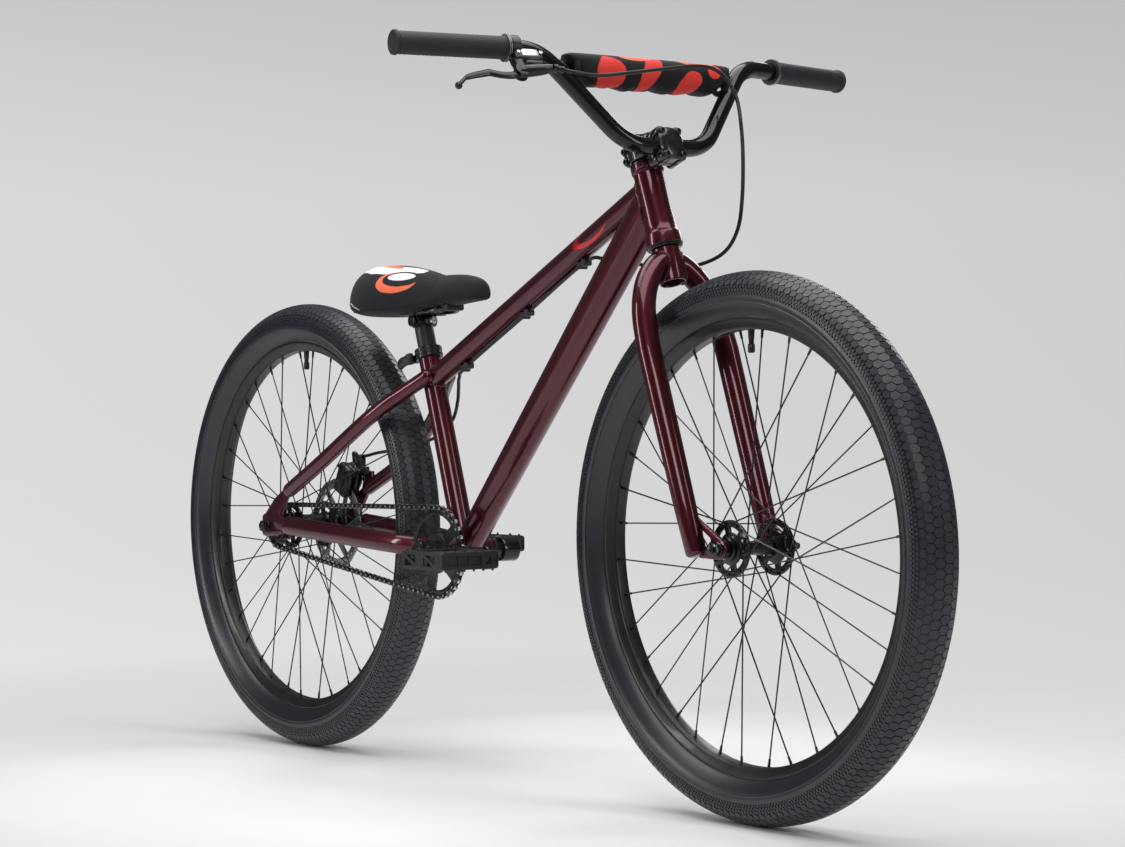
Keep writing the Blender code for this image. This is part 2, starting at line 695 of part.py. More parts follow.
def wheel(name, hub_profile, flange_y, valve_angle, parent):
    """Tyre, inner tube with its valve, rim, two spoke lattices and hub, turned about Y."""
    turned(name + "_tyre", tyre_profile(), WHEEL_STEPS, RUBBER, (0, 0, 0), AXLE_TURN, parent, closed=True)
    rim = turned(name + "_rim", rim_profile(), WHEEL_STEPS, GLOSS_BLACK, (0, 0, 0), AXLE_TURN, parent,
                 closed=True)
    middle = TYRE_RADIUS - TYRE_SECTION_RADIUS
    tube_section = [
        (middle + 0.0180 * math.cos(a), 0.0205 * math.sin(a))
        for a in (math.radians(d) for d in range(90, -270, -60))
    ]
    inner_tube = turned(name + "_inner_tube", tube_section, 20, RUBBER, (0, 0, 0), AXLE_TURN, parent,
                        closed=True)
    outward = Vector((math.cos(math.radians(valve_angle)), 0, math.sin(math.radians(valve_angle))))
    join(inner_tube, rod(name + "_valve", outward * 0.2970, outward * 0.2405, 0.0038, 8, parent=parent))
    cut(rim, rod(name + "_valve_hole", outward * 0.2900, outward * 0.2600, 0.0042, 8, parent=parent))
    turned(name + "_hub", hub_profile, 12, SATIN_BLACK, (0, 0, 0), AXLE_TURN, parent, closed=True)
    spokes(name + "_spokes_right", -1, flange_y, 5, parent)
    spokes(name + "_spokes_left", 1, flange_y, 15, parent)


def front_wheel():
    axis = empty("front_wheel_axis", FRONT_HUB)
    outside = [
        (0.0095, 0.0497), (0.0095, 0.0430), (0.0160, 0.0390), (FLANGE_RADIUS, 0.0372),
        (FLANGE_RADIUS, 0.0340), (0.0160, 0.0310),
    ]
    other = [(radius, -height) for radius, height in outside[::-1]]
    bore = FRONT_AXLE_RADIUS + GAP
    wheel("front", outside + other + [(bore, -0.0497), (bore, 0.0497)], FRONT_FLANGE_Y, 90, axis)


def rear_wheel():
    """As the front one, with a brake seat on the left and a threaded seat for the cog."""
    axis = empty("rear_wheel_axis", REAR_HUB)
    bore = REAR_AXLE_RADIUS + GAP
    profile = [
        (0.0095, 0.0672), (0.0095, 0.0560), (0.0170, 0.0550), (0.0170, 0.0508), (0.0240, 0.0508),
        (0.0240, 0.0460), (0.0165, 0.0430), (0.0165, 0.0335), (FLANGE_RADIUS, 0.0316),
        (FLANGE_RADIUS, 0.0284), (0.0165, 0.0255), (0.0165, -0.0255),
        (FLANGE_RADIUS, -0.0284), (FLANGE_RADIUS, -0.0316), (0.0165, -0.0335),
        (0.0165, -0.0570), (0.0095, -0.0580), (0.0095, -0.0672), (bore, -0.0672), (bore, 0.0672),
    ]
    wheel("rear", profile, REAR_FLANGE_Y, 90, axis)
    brake_rotor(axis)


def axle(name, hub, radius, reach, nut_inner, parent=None):
    """A threaded axle with a nut outside each dropout."""
    thing = rod(name, hub + Vector((0, -reach, 0)), hub + Vector((0, reach, 0)), radius, 12,
                material=STEEL, parent=parent)
    for side in (-1, 1):
        start = hub + Vector((0, side * nut_inner, 0))
        nut = rod(f"{name}_nut_{side}", start, start + Vector((0, side * 0.0090, 0)), 0.0090, 6,
                  parent=parent)
        join(thing, nut)


# Drive

def pitch_radius(teeth):
    return PITCH / (2 * math.sin(math.pi / teeth))


def chain_rollers():
    """Roller centres in the XZ plane, a pitch apart round both sprockets and the taut runs."""
    big = pitch_radius(RING_TEETH)
    small = pitch_radius(COG_TEETH)
    span = REAR_HUB - BRACKET
    run = math.sqrt(span.length_squared - (big - small) ** 2)
    to_hub = math.atan2(span.z, span.x)
    lift = math.acos((big - small) / span.length)
    top = to_hub - lift
    bottom = to_hub + lift
    cog_wrap = 2 * lift
    lengths = [run, small * cog_wrap, run, big * (2 * math.pi - 2 * lift)]

    def place(distance):
        """Point at a distance along the loop, from the ring's top contact."""
        distance %= sum(lengths)
        if distance < lengths[0]:
            start = BRACKET + radial(top) * big
            return start.lerp(REAR_HUB + radial(top) * small, distance / run)
        distance -= lengths[0]
        if distance < lengths[1]:
            return REAR_HUB + radial(top + distance / small) * small
        distance -= lengths[1]
        if distance < lengths[2]:
            start = REAR_HUB + radial(bottom) * small
            return start.lerp(BRACKET + radial(bottom) * big, distance / run)
        distance -= lengths[2]
        return BRACKET + radial(bottom + distance / big) * big

    rollers = [place(0)]
    distance = 0
    for _ in range(LINKS - 1):
        low = distance + PITCH * 0.9
        high = distance + PITCH * 1.1
        for _ in range(40):
            middle = (low + high) / 2
            if (place(middle) - rollers[-1]).length < PITCH:
                low = middle
            else:
                high = middle
        distance = low
        rollers.append(place(distance))
    return rollers


def radial(angle):
    return Vector((math.cos(angle), 0, math.sin(angle)))


def chain():
    """Two side bands round the whole loop, and a roller at every pitch."""
    rollers = chain_rollers()
    band_inner = 0.0024
    band_outer = 0.0036
    band_half = 0.0040
    corners = []
    for i, here in enumerate(rollers):
        ahead = (rollers[(i + 1) % LINKS] - here).normalized()
        behind = (here - rollers[i - 1]).normalized()
        bend = ahead.angle(behind)
        if bend > 0.3 or (bend > 0.01 and i % 2 == 0):
            forward = (ahead + behind).normalized()
            corners.append((here, Vector((-forward.z, 0, forward.x))))
    bands = bmesh.new()
    for side in (-1, 1):
        rings = []
        for here, outward in corners:
            rings.append([
                bands.verts.new(here + outward * offset + Vector((0, CHAIN_Y + side * y, 0)))
                for offset, y in (
                    (band_half, band_inner), (band_half, band_outer), (-band_half, band_outer),
                    (-band_half, band_inner),
                )
            ])
        for ring, following in zip(rings, rings[1:] + rings[:1]):
            for k in range(4):
                m = (k + 1) % 4
                bands.faces.new((ring[k], ring[m], following[m], following[k]))
    bmesh.ops.recalc_face_normals(bands, faces=bands.faces)
    thing = new_object("chain", finish_mesh("chain", bands), SATIN_BLACK)
    pins = bmesh.new()
    reach = (band_inner + band_outer) / 2
    for roller in rollers:
        place = Matrix.Translation(roller + Vector((0, CHAIN_Y, 0))) @ AXLE_TURN.to_matrix().to_4x4()
        bmesh.ops.create_cone(
            pins, cap_ends=True, segments=3, depth=2 * reach, radius1=0.0036, radius2=0.0036,
            matrix=place,
        )
    join(thing, new_object("chain_rollers", finish_mesh("chain_rollers", pins), None))


def sprocket_outline(teeth, first_angle):
    """Pointed teeth between the rollers, on a root circle just inside them."""
    pitch = pitch_radius(teeth)
    root = pitch - 0.0045
    tip = pitch + 0.0026
    half_step = math.pi / teeth
    root_half = half_step - math.asin(0.0043 / pitch)
    outline = []
    for i in range(teeth):
        middle = first_angle + half_step * (2 * i + 1)
        for offset, radius in ((-root_half, root), (0, tip), (root_half, root)):
            outline.append((radius * math.cos(middle + offset), radius * math.sin(middle + offset)))
    return outline


def sprockets(crank_axis):
    rollers = chain_rollers()
    ring_arm = rollers[0] - BRACKET
    ring_angle = math.atan2(ring_arm.z, ring_arm.x)
    windows = [
        arc((0, 0), 0.0530, 72 * i - 27, 72 * i + 27, 3) + arc((0, 0), 0.0300, 72 * i + 20, 72 * i - 20, 2)
        for i in range(5)
    ]
    bore = circle((0, 0), SPINDLE_RADIUS + GAP, 12)
    plate("chainring", sprocket_outline(RING_TEETH, ring_angle), 0.0022, SATIN_BLACK, [bore, *windows],
          (0, CHAIN_Y, 0), parent=crank_axis)
    on_cog = min(rollers, key=lambda p: p.x)
    cog_arm = on_cog - REAR_HUB
    cog_axis = empty("cog_axis", REAR_HUB)
    cog = plate("freewheel_cog", sprocket_outline(COG_TEETH, math.atan2(cog_arm.z, cog_arm.x)), 0.0022,
                SATIN_BLACK, [circle((0, 0), 0.0175, 12)], (0, CHAIN_Y, 0), parent=cog_axis)
    body = [(0.0225, 0.0060), (0.0225, -0.0050), (0.0175, -0.0050), (0.0175, 0.0060)]
    join(cog, turned("freewheel_body", body, 12, None, (0, CHAIN_Y, 0), AXLE_TURN, cog_axis, closed=True))


def crank(name, side, crank_axis):
    """Boss, flat tapered arm and pedal spindle. The left one carries the bracket spindle."""
    forward = -side * CRANK_LENGTH
    arm_path = [(0, side * 0.0700, 0), (forward * 0.5, side * 0.0750, 0), (forward, side * 0.0800, 0)]
    arm = tube(name, arm_path, [0.0145, 0.0135, 0.0130], 8, SATIN_BLACK, crank_axis, flatten=0.52)
    boss = rod(name + "_boss", (0, side * 0.0560, 0), (0, side * 0.0830, 0), 0.0170, 12,
               parent=crank_axis)
    eye = rod(name + "_eye", (forward, side * 0.0735, 0), (forward, side * 0.0875, 0), 0.0160, 12,
              parent=crank_axis)
    pin = rod(name + "_pin", (forward, side * 0.0800, 0), (forward, side * 0.1850, 0), 0.0060, 8,
              parent=crank_axis)
    join(arm, boss, eye, pin)
    if side > 0:
        join(arm, rod(name + "_spindle", (0, -0.0810, 0), (0, 0.0700, 0), SPINDLE_RADIUS, 12,
                      parent=crank_axis))
    else:
        cut(arm, rod(name + "_bore", (0, -0.0900, 0), (0, -0.0500, 0), SPINDLE_RADIUS + GAP, 12,
                     parent=crank_axis))
    return Vector((forward, 0, 0))


def pedal(name, side, place, crank_axis):
    """A platform with four windows, on a barrel round the spindle."""
    axis = empty(name + "_axis", place, parent=crank_axis)
    inner = 0.0970
    outer = 0.1880
    low = min(side * inner, side * outer)
    high = max(side * inner, side * outer)
    body = box(name, (-0.0490, low, -0.0125), (0.0490, high, 0.0125), PLASTIC, parent=axis)
    bevel(body, 0.005, 1)
    for k, direction in enumerate((-1, 1)):
        near = direction * 0.0130
        far = direction * 0.0405
        window = box(f"{name}_window_{k}", (min(near, far), low + 0.009, -0.02),
                     (max(near, far), high - 0.009, 0.02), parent=axis)
        cut(body, window)
    cut(body, rod(name + "_bore", (0, side * 0.0900, 0), (0, side * 0.1860, 0), clear_bore(0.0060, 8), 8, parent=axis))


def drive():
    crank_axis = empty("crank_axis", BRACKET)
    sprockets(crank_axis)
    for name, side in (("right", -1), ("left", 1)):
        place = crank("crank_" + name, side, crank_axis)
        pedal("pedal_" + name, side, place, crank_axis)
    chain()


# Saddle and seatpost

# Stations from tail to nose: x, half width, top height, bottom height
SADDLE_STATIONS = [
    (-0.3255, 0.0300, 0.7140, 0.6720), (-0.3150, 0.0520, 0.7240, 0.6600),
    (-0.2900, 0.0670, 0.7290, 0.6545), (-0.2550, 0.0695, 0.7265, 0.6520),
    (-0.2150, 0.0600, 0.7205, 0.6505), (-0.1800, 0.0455, 0.7155, 0.6515),
    (-0.1500, 0.0345, 0.7120, 0.6570), (-0.1220, 0.0270, 0.7095, 0.6625),
    (-0.0900, 0.0220, 0.7065, 0.6635), (-0.0600, 0.0190, 0.7000, 0.6640),
    (-0.0470, 0.0150, 0.6930, 0.6660), (-0.0410, 0.0090, 0.6860, 0.6700),
]


def loft(name, rings, material=None, parent=None):
    """A closed skin over rings of equal point counts, with flat ends."""
    builder = bmesh.new()
    loops = [[builder.verts.new(p) for p in ring] for ring in rings]
    count = len(loops[0])
    for loop, following in zip(loops, loops[1:]):
        for k in range(count):
            m = (k + 1) % count
            builder.faces.new((loop[k], loop[m], following[m], following[k]))
    builder.faces.new(loops[0])
    builder.faces.new(loops[-1])
    bmesh.ops.recalc_face_normals(builder, faces=builder.faces)
    return new_object(name, finish_mesh(name, builder), material, parent=parent)


def saddle_ring(station, count, origin):
    """Crowned top, drawn-in flanks: a rounded section with its widest line low down."""
    x, half_width, top, bottom = station
    ring = []
    for i in range(count):
        a = 2 * math.pi * (i + 0.5) / count
        across = math.copysign(abs(math.cos(a)) ** 0.75, math.cos(a))
        up = math.copysign(abs(math.sin(a)) ** 0.85, math.sin(a))
        waist = bottom + (top - bottom) * 0.42
        height = waist + (top - waist) * up if up > 0 else waist + (waist - bottom) * up
        draw_in = 1 - 0.10 * max(0, -up)
        ring.append(Vector((x, half_width * across * draw_in, height)) - origin)
    return ring


def saddle():
    """Seatpost, rail clamp, rails, base and padded cover, all moving along the seat tube."""
    foot = on_seat_line(POST_BOTTOM)
    head = on_seat_line(POST_TOP)
    slide = empty("seatpost_axis", on_seat_line(SEAT_TUBE_LENGTH))
    origin = slide.location.copy()
    post = rod("seatpost", foot - origin, head - origin, POST_RADIUS, 16, material=SATIN_BLACK,
               parent=slide)
    bore_end = on_seat_line(POST_TOP - 0.012) - origin
    cut(post, rod("post_bore", foot - origin - SEAT_UP * 0.01, bore_end, 0.0115, 12, parent=slide))
    rail = [
        (-0.2850, 0.0380, 0.6595), (-0.2500, 0.0225, 0.6555), (-0.1600, 0.0220, 0.6550),
        (-0.1340, 0.0150, 0.6575), (-0.1260, 0.0050, 0.6590),
    ]
    rail_path = [Vector(p) - origin for p in rail]
    both = rail_path + mirror_about(rail_path[::-1], origin)
    rails = tube("saddle_rails", smooth_path(both, 2), 0.0035, 6, STEEL, slide)
    groove = hide_later(tube("rail_groove", smooth_path(both, 2), 0.0035 + 2 * GAP, 6, parent=slide))
    clamp_at = on_seat_line(POST_TOP + 0.0075) - origin
    half_bolt = Vector((0, 0.0170, 0))
    clamp = rod("saddle_clamp", clamp_at - half_bolt, clamp_at + half_bolt, 0.0110, 12,
                material=SATIN_BLACK, parent=slide)
    yoke = box("clamp_yoke", (-0.0190, -0.0275, -0.0055), (0.0190, 0.0275, 0.0055), parent=slide,
               centre=Vector((clamp_at.x, 0, 0.6550 - origin.z)))
    join(clamp, yoke)
    cut(clamp, groove, rod("post_cutter", head - origin - SEAT_UP * 0.05, head - origin + SEAT_UP * GAP,
                           POST_RADIUS + GAP, 16, parent=slide))
    base_half = [(x, max(w - 0.0105, 0.004)) for x, w, _, _ in SADDLE_STATIONS[1:9]]
    outline = base_half + [(x, -w) for x, w in base_half[::-1]]
    outline = [(x - origin.x, y) for x, y in outline]
    plate("saddle_base", outline, 0.0024, PLASTIC, location=(0, 0, 0.6652 - origin.z),
          rotation=Euler((0, 0, 0)), parent=slide)
    cover = loft("saddle_cover", [saddle_ring(s, 10, origin) for s in SADDLE_STATIONS], FABRIC, slide)
    smooth = cover.modifiers.new("smooth", "SUBSURF")
    smooth.levels = 1
    smooth.render_levels = 1
    recess_top = 0.6668
    recess = []
    for x, w, _, bottom in SADDLE_STATIONS[1:9]:
        half = max(w - 0.0095, 0.005)
        recess.append([
            Vector((x, half, recess_top)) - origin, Vector((x, -half, recess_top)) - origin,
            Vector((x, -half, bottom - 0.03)) - origin, Vector((x, half, bottom - 0.03)) - origin,
        ])
    cut(cover, loft("cover_recess", recess, parent=slide))
    return rails


def mirror_about(points, origin):
    """Mirror points given from an origin in the plane y = 0."""
    return [Vector((p.x, -p.y - 2 * origin.y, p.z)) for p in points]


# Steering

def in_steering(point):
    """A world place, from the steering axis's own frame."""
    return STEER_TURN.to_matrix().inverted() @ (Vector(point) - STEER_POINT)


def fork(steering):
    """Unicrown fork: steerer, two bent legs and two windowed dropouts."""
    thing = rod("fork", (0, 0, -0.1000), (0, 0, 0.0870), STEERER_RADIUS, 16, material=PAINT,
                parent=steering)
    join(thing, rod("crown_tube", (0, 0, -0.1120), (0, 0, -0.0636), 0.0185, 16, parent=steering))
    leg = [
        (0, 0.0060, -0.0790), (0, 0.0230, -0.0880), (0, 0.0410, -0.1080), (0, 0.0535, -0.1340),
        (0, 0.0600, -0.1620), (0, 0.0630, -0.2000),
    ]
    foot = Vector((0, 0.0615, -0.4650))
    hub = in_steering(FRONT_HUB)
    dropout = [
        (-0.0060, -0.4190), (0.0090, -0.4220), (0.0180, -0.4330),
        *arc((hub.x, hub.z), 0.0130, 45, -110, 5), (-0.0040, -0.4840), (-0.0080, -0.4650),
    ]
    window = [(0.0120, -0.4420), (0.0225, -0.4600), (0.0170, -0.4700), (0.0090, -0.4690)]
    eye = circle((hub.x, hub.z), FRONT_AXLE_RADIUS + GAP, 10)
    for name, side in (("right", -1), ("left", 1)):
        path = smooth_path(leg, 2) + [foot]
        radii = [0.0153] * 11 + [0.0142]
        leg_tube = tube("leg_" + name, path if side > 0 else mirrored(path), radii, 8, parent=steering)
        middle = side * (FORK_DROPOUT_Y + DROPOUT_THICKNESS / 2)
        tip = plate("fork_dropout_" + name, dropout, DROPOUT_THICKNESS, None, [window, eye],
                    (0, middle, 0), parent=steering)
        join(thing, leg_tube, tip)
    cut(thing, rod("steerer_bore", (0, 0, -0.1300), (0, 0, 0.1000), 0.0118, 14, parent=steering))


def stem(steering):
    body = rod("stem", (0, 0, 0.0585), (0, 0, 0.0880), 0.0203, 16, material=GLOSS_BLACK,
               parent=steering)
    neck = box("stem_neck", (0.0050, -0.0165, 0.0600), (0.0330, 0.0165, 0.0850), parent=steering)
    half_width = 0.0262
    low = BAR_CLAMP_HEIGHT - 0.0265
    high = BAR_CLAMP_HEIGHT + 0.0265
    block = box("stem_block", (0.0275, -half_width, low), (STEM_REACH - GAP, half_width, high),
                parent=steering)
    bevel(block, 0.004, 1)
    bolts = [
        rod(f"pinch_bolt_{k}", (-0.0205, -0.0120, z), (-0.0205, 0.0120, z), 0.0050, 8, parent=steering)
        for k, z in enumerate((0.0660, 0.0800))
    ]
    join(body, neck, block, *bolts)
    bar_bore = hide_later(rod("bar_bore", (STEM_REACH, -0.05, BAR_CLAMP_HEIGHT),
                              (STEM_REACH, 0.05, BAR_CLAMP_HEIGHT), BAR_RADIUS + GAP, 16,
                              parent=steering))
    cut(body, bar_bore, rod("stem_bore", (0, 0, 0.0500), (0, 0, 0.1000), STEERER_RADIUS + GAP, 16,
                            parent=steering))
    face = box("stem_faceplate", (STEM_REACH + GAP, -half_width, low), (0.0600, half_width, high),
               GLOSS_BLACK, parent=steering)
    bevel(face, 0.007, 1)
    for k, (y, z) in enumerate(((-1, -1), (-1, 1), (1, -1), (1, 1))):
        place = Vector((0.0580, y * 0.0185, BAR_CLAMP_HEIGHT + z * 0.0195))
        join(face, rod(f"face_bolt_{k}", place, place + Vector((0.0050, 0, 0)), 0.0042, 8,
                       parent=steering))
    cut(face, bar_bore)
    cap = [
        (0, 0.0915), (0.0165, 0.0915), (0.0175, 0.0883), (0.0030, 0.0883), (0.0030, 0.0650),
        (0, 0.0650),
    ]
    turned("headset_top_cap", cap, 12, GLOSS_BLACK, parent=steering)


# Handlebar: clamp, riser foot, riser top and grip end on the left, in world places
BAR_CENTRE = (0.3636, 0, 0.8453)
BAR_FOOT = (0.3636, 0.0624, 0.8453)
BAR_TOP = (0.3169, 0.1650, 0.9629)
BAR_END = (0.2892, 0.3642, 0.9608)
CROSSBAR_FRACTION = 0.81
GRIP_INNER_Y = {"right": 0.2090, "left": 0.2240}


def handlebar(steering):
    half = [in_steering(p) for p in (BAR_END, BAR_TOP, BAR_FOOT)]
    half[0] = half[1].lerp(half[0], 0.987)
    corners = half + mirrored(half[::-1])
    path = rounded_path(corners, [0.064, 0.063, 0.063, 0.064], 4)
    bar = tube("handlebar", path, BAR_RADIUS, 8, GLOSS_BLACK, steering)
    left = half[2].lerp(half[1], CROSSBAR_FRACTION)
    right = Vector((left.x, -left.y, left.z))
    join(bar, rod("crossbar", right, left, 0.0080, 8, parent=steering))
    crossbar_pad(steering, left)
    for name, side in (("right", -1), ("left", 1)):
        grip(name, side, steering)


def crossbar_pad(steering, cross_end):
    """A foam sleeve, soft-edged, its ends slanted to sit between the risers."""
    rings = []
    for t in (-1, -0.93, -0.4, 0.4, 0.93, 1):
        thick = 0.80 if abs(t) == 1 else 1.0
        ring = []
        for k in range(8):
            a = 2 * math.pi * k / 8
            across = math.copysign(abs(math.cos(a)) ** 0.8, math.cos(a))
            up = math.copysign(abs(math.sin(a)) ** 0.8, math.sin(a))
            half_length = 0.1215 + 0.0150 * up
            ring.append(Vector((
                cross_end.x + 0.0240 * across * thick, t * half_length,
                cross_end.z + 0.0232 * up * thick,
            )))
        rings.append(ring)
    pad = loft("crossbar_pad", rings, FABRIC, steering)
    smooth = pad.modifiers.new("smooth", "SUBSURF")
    smooth.levels = 1
    smooth.render_levels = 1
    reach = Vector((0, 0.2, 0))
    middle = Vector((cross_end.x, 0, cross_end.z))
    cut(pad, rod("pad_bore", middle - reach, middle + reach, clear_bore(0.0080, 10), 10, parent=steering))


def grip_place(side, y):
    """A place on the bar's grip run, by its distance from the middle plane."""
    start = Vector(BAR_TOP)
    end = Vector(BAR_END)
    point = start.lerp(end, (y - start.y) / (end.y - start.y))
    return in_steering((point.x, side * point.y, point.z))


def grip(name, side, steering):
    """A rubber sleeve with a flange at its inner end and a closed outer end."""
    inner = grip_place(side, GRIP_INNER_Y[name])
    outer = grip_place(side, BAR_END[1])
    length = (outer - inner).length
    bore = clear_bore(BAR_RADIUS, 10)
    profile = [
        (0, length), (0.0128, length), (0.0150, length - 0.0025), (0.0150, length - 0.0100),
        (0.0144, 0.0300), (0.0146, 0.0040), (0.0172, 0.0030), (0.0172, 0), (bore, 0),
        (bore, length - 0.0022), (0, length - 0.0022),
    ]
    turned("grip_" + name, profile, 10, RUBBER, inner, turn_towards(outer - inner), steering)


# Brake lever on the right
CLAMP_Y = 0.2012
LEVER_PIVOT = Vector((0.3370, -0.2050, 0.9300))
LEVER_POINTS = [
    (0.3370, -0.2050, 0.9300), (0.3395, -0.2200, 0.9255), (0.3370, -0.2350, 0.9240),
    (0.3300, -0.2520, 0.9250), (0.3240, -0.2700, 0.9225), (0.3270, -0.2850, 0.9160),
    (0.3350, -0.2980, 0.9075),
]


def lever_frame():
    """The pivot's axis: square to the bar and to the line from the bar to the pivot."""
    along_bar = (Vector(BAR_END) - Vector(BAR_TOP)).normalized()
    along_bar = Vector((along_bar.x, -along_bar.y, along_bar.z))
    bar_point = Vector(BAR_TOP).lerp(Vector(BAR_END), (CLAMP_Y - BAR_TOP[1]) / (BAR_END[1] - BAR_TOP[1]))
    bar_point.y *= -1
    towards_pivot = LEVER_PIVOT - bar_point
    towards_pivot -= along_bar * towards_pivot.dot(along_bar)
    return along_bar, towards_pivot.normalized(), bar_point


def brake_lever(steering):
    along_bar, towards_pivot, bar_point = lever_frame()
    axis = along_bar.cross(towards_pivot).normalized()
    half_band = along_bar * 0.0065
    perch = rod("lever_perch", in_steering(bar_point - half_band), in_steering(bar_point + half_band),
                0.0165, 14, material=SATIN_BLACK, parent=steering)
    block_from = bar_point + towards_pivot * 0.0120
    block_to = LEVER_PIVOT + towards_pivot * 0.0060
    neck = tube("perch_neck", [in_steering(block_from), in_steering(block_to)], [0.0070, 0.0092], 8,
                parent=steering)
    cable_start = Vector(CABLE_ROUTE[0])
    leaving = (Vector(CABLE_ROUTE[1]) - cable_start).normalized()
    adjuster_end = cable_start - leaving * 2 * GAP
    housing = tube("perch_housing", [in_steering(p) for p in (
        LEVER_PIVOT + Vector((0.002, 0.004, 0.001)), LEVER_PIVOT + Vector((0.0130, 0.0230, 0.0030)),
        adjuster_end - leaving * 0.0100, adjuster_end,
    )], [0.0080, 0.0068, 0.0045, 0.0040], 8, parent=steering)
    join(perch, neck, housing)
    bar_cut = rod("perch_bore", in_steering(bar_point - along_bar * 0.05),
                  in_steering(bar_point + along_bar * 0.05), clear_bore(BAR_RADIUS, 12), 12,
                  parent=steering)
    slot_at = LEVER_PIVOT + along_bar * 0.0030
    slot = rod("lever_slot", in_steering(slot_at - axis * 0.0048),
               in_steering(slot_at + axis * 0.0048), 0.0122, 12, parent=steering)
    cut(perch, bar_cut, slot)
    pivot = empty("brake_lever_axis", in_steering(LEVER_PIVOT), parent=steering)
    home = in_steering(LEVER_PIVOT)
    eye = rod("brake_lever", in_steering(LEVER_PIVOT - axis * 0.0042) - home,
              in_steering(LEVER_PIVOT + axis * 0.0042) - home, 0.0085, 12, material=SATIN_BLACK,
              parent=pivot)
    blade_path = smooth_path([in_steering(p) - home for p in LEVER_POINTS], 2)
    radii = [0.0038, 0.0040, 0.0040, 0.0040, 0.0042, 0.0046, 0.0052, 0.0056, 0.0054, 0.0048, 0.0042,
             0.0038, 0.0046]
    join(eye, tube("lever_blade_tube", blade_path, radii, 8, parent=pivot))


def steering_assembly():
    steering = empty("steering_axis", STEER_POINT, STEER_TURN)
    fork(steering)
    stem(steering)
    handlebar(steering)
    brake_lever(steering)
    axle("front_axle", in_steering(FRONT_HUB), FRONT_AXLE_RADIUS, 0.0730, 0.0566, steering)


frame()
headset()
bottom_bracket()
seat_clamp()
cable()
brake()
front_wheel()
rear_wheel()
axle("rear_axle", REAR_HUB, REAR_AXLE_RADIUS, 0.0840, REAR_DROPOUT_Y + DROPOUT_THICKNESS + GAP)
drive()
saddle()
steering_assembly()
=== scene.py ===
"""Looks of the single-speed hardtail bicycle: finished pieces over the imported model.

Metres, +X forward, +Y to the rider's left, +Z up, the origin on the ground between the tyres.
"""
import math

import bmesh
import bpy
from mathutils import Euler, Matrix, Vector
from mathutils.bvhtree import BVHTree


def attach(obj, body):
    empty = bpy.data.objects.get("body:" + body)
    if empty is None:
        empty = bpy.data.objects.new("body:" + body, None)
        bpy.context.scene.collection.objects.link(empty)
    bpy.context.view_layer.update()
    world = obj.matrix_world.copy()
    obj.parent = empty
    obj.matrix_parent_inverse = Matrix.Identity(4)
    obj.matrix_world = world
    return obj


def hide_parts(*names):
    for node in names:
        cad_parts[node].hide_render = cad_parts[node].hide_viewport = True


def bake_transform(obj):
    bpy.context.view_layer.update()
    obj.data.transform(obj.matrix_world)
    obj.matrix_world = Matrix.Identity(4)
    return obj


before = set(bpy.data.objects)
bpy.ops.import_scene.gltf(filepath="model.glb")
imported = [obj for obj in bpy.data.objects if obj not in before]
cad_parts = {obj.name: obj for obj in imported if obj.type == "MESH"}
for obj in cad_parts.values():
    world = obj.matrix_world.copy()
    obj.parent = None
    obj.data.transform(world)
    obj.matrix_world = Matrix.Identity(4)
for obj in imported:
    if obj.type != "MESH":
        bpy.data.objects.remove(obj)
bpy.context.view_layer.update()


def at(place):
    return Matrix.Translation(Vector(place))


def lean(angle):
    """A turn about the Y axis."""
    return Euler((0, angle, 0)).to_matrix().to_4x4()


def axes(x, y, z):
    """The turn that lays the three axes along these directions."""
    return Matrix((x, y, z)).transposed().to_4x4()


def aside(y):
    return Vector((0, y, 0))


def radial(angle):
    return Vector((math.cos(angle), 0, math.sin(angle)))


AHEAD = Vector((1, 0, 0))
ACROSS = Vector((0, 1, 0))
UP = Vector((0, 0, 1))

# The same sizes as the solids have
TYRE_RADIUS = 0.34
TYRE_SECTION = Vector((0.3095, 0.0305, 0.033))
FRONT_HUB = Vector((0.5286, 0, TYRE_RADIUS))
REAR_HUB = Vector((-0.5286, 0, TYRE_RADIUS))
SPOKE_CIRCLE = 0.0312
BRACKET = Vector((-0.09548, 0, 0.3144))
STEER_POINT = Vector((0.341, 0, 0.775))
STEER_TURN = lean(math.radians(71) - math.pi / 2)
STEERING = at(STEER_POINT) @ STEER_TURN
SEAT_ANGLE = math.radians(72)
SEAT_UP = Vector((-math.cos(SEAT_ANGLE), 0, math.sin(SEAT_ANGLE)))
SEAT_BACK = Vector((-math.sin(SEAT_ANGLE), 0, -math.cos(SEAT_ANGLE)))
SEAT_LEAN = lean(SEAT_ANGLE - math.pi / 2)
CHAIN_Y = -0.05
PITCH = 0.0127
RING_TEETH = 31
COG_TEETH = 16
LINKS = 92
CRANK_LENGTH = 0.17
SIDES = (("right", -1), ("left", 1))

# Turns that lay a shape's Z axis along Y, or its XY plane in the XZ plane
ALONG_Y = Euler((-math.pi / 2, 0, 0)).to_matrix().to_4x4()
UPRIGHT = Euler((math.pi / 2, 0, 0)).to_matrix().to_4x4()


# Finishes

def feed(tree, target, values):
    """Set a shader node's inputs, each to a value or to another node's named output."""
    for key, value in values.items():
        if isinstance(value, tuple) and isinstance(value[0], bpy.types.Node):
            tree.links.new(value[0].outputs[value[1]], target.inputs[key])
        else:
            target.inputs[key].default_value = value


def add(tree, kind, values=None, **settings):
    """A new shader node with its settings and inputs."""
    made = tree.nodes.new("ShaderNode" + kind)
    for key, value in settings.items():
        setattr(made, key, value)
    feed(tree, made, values or {})
    return made


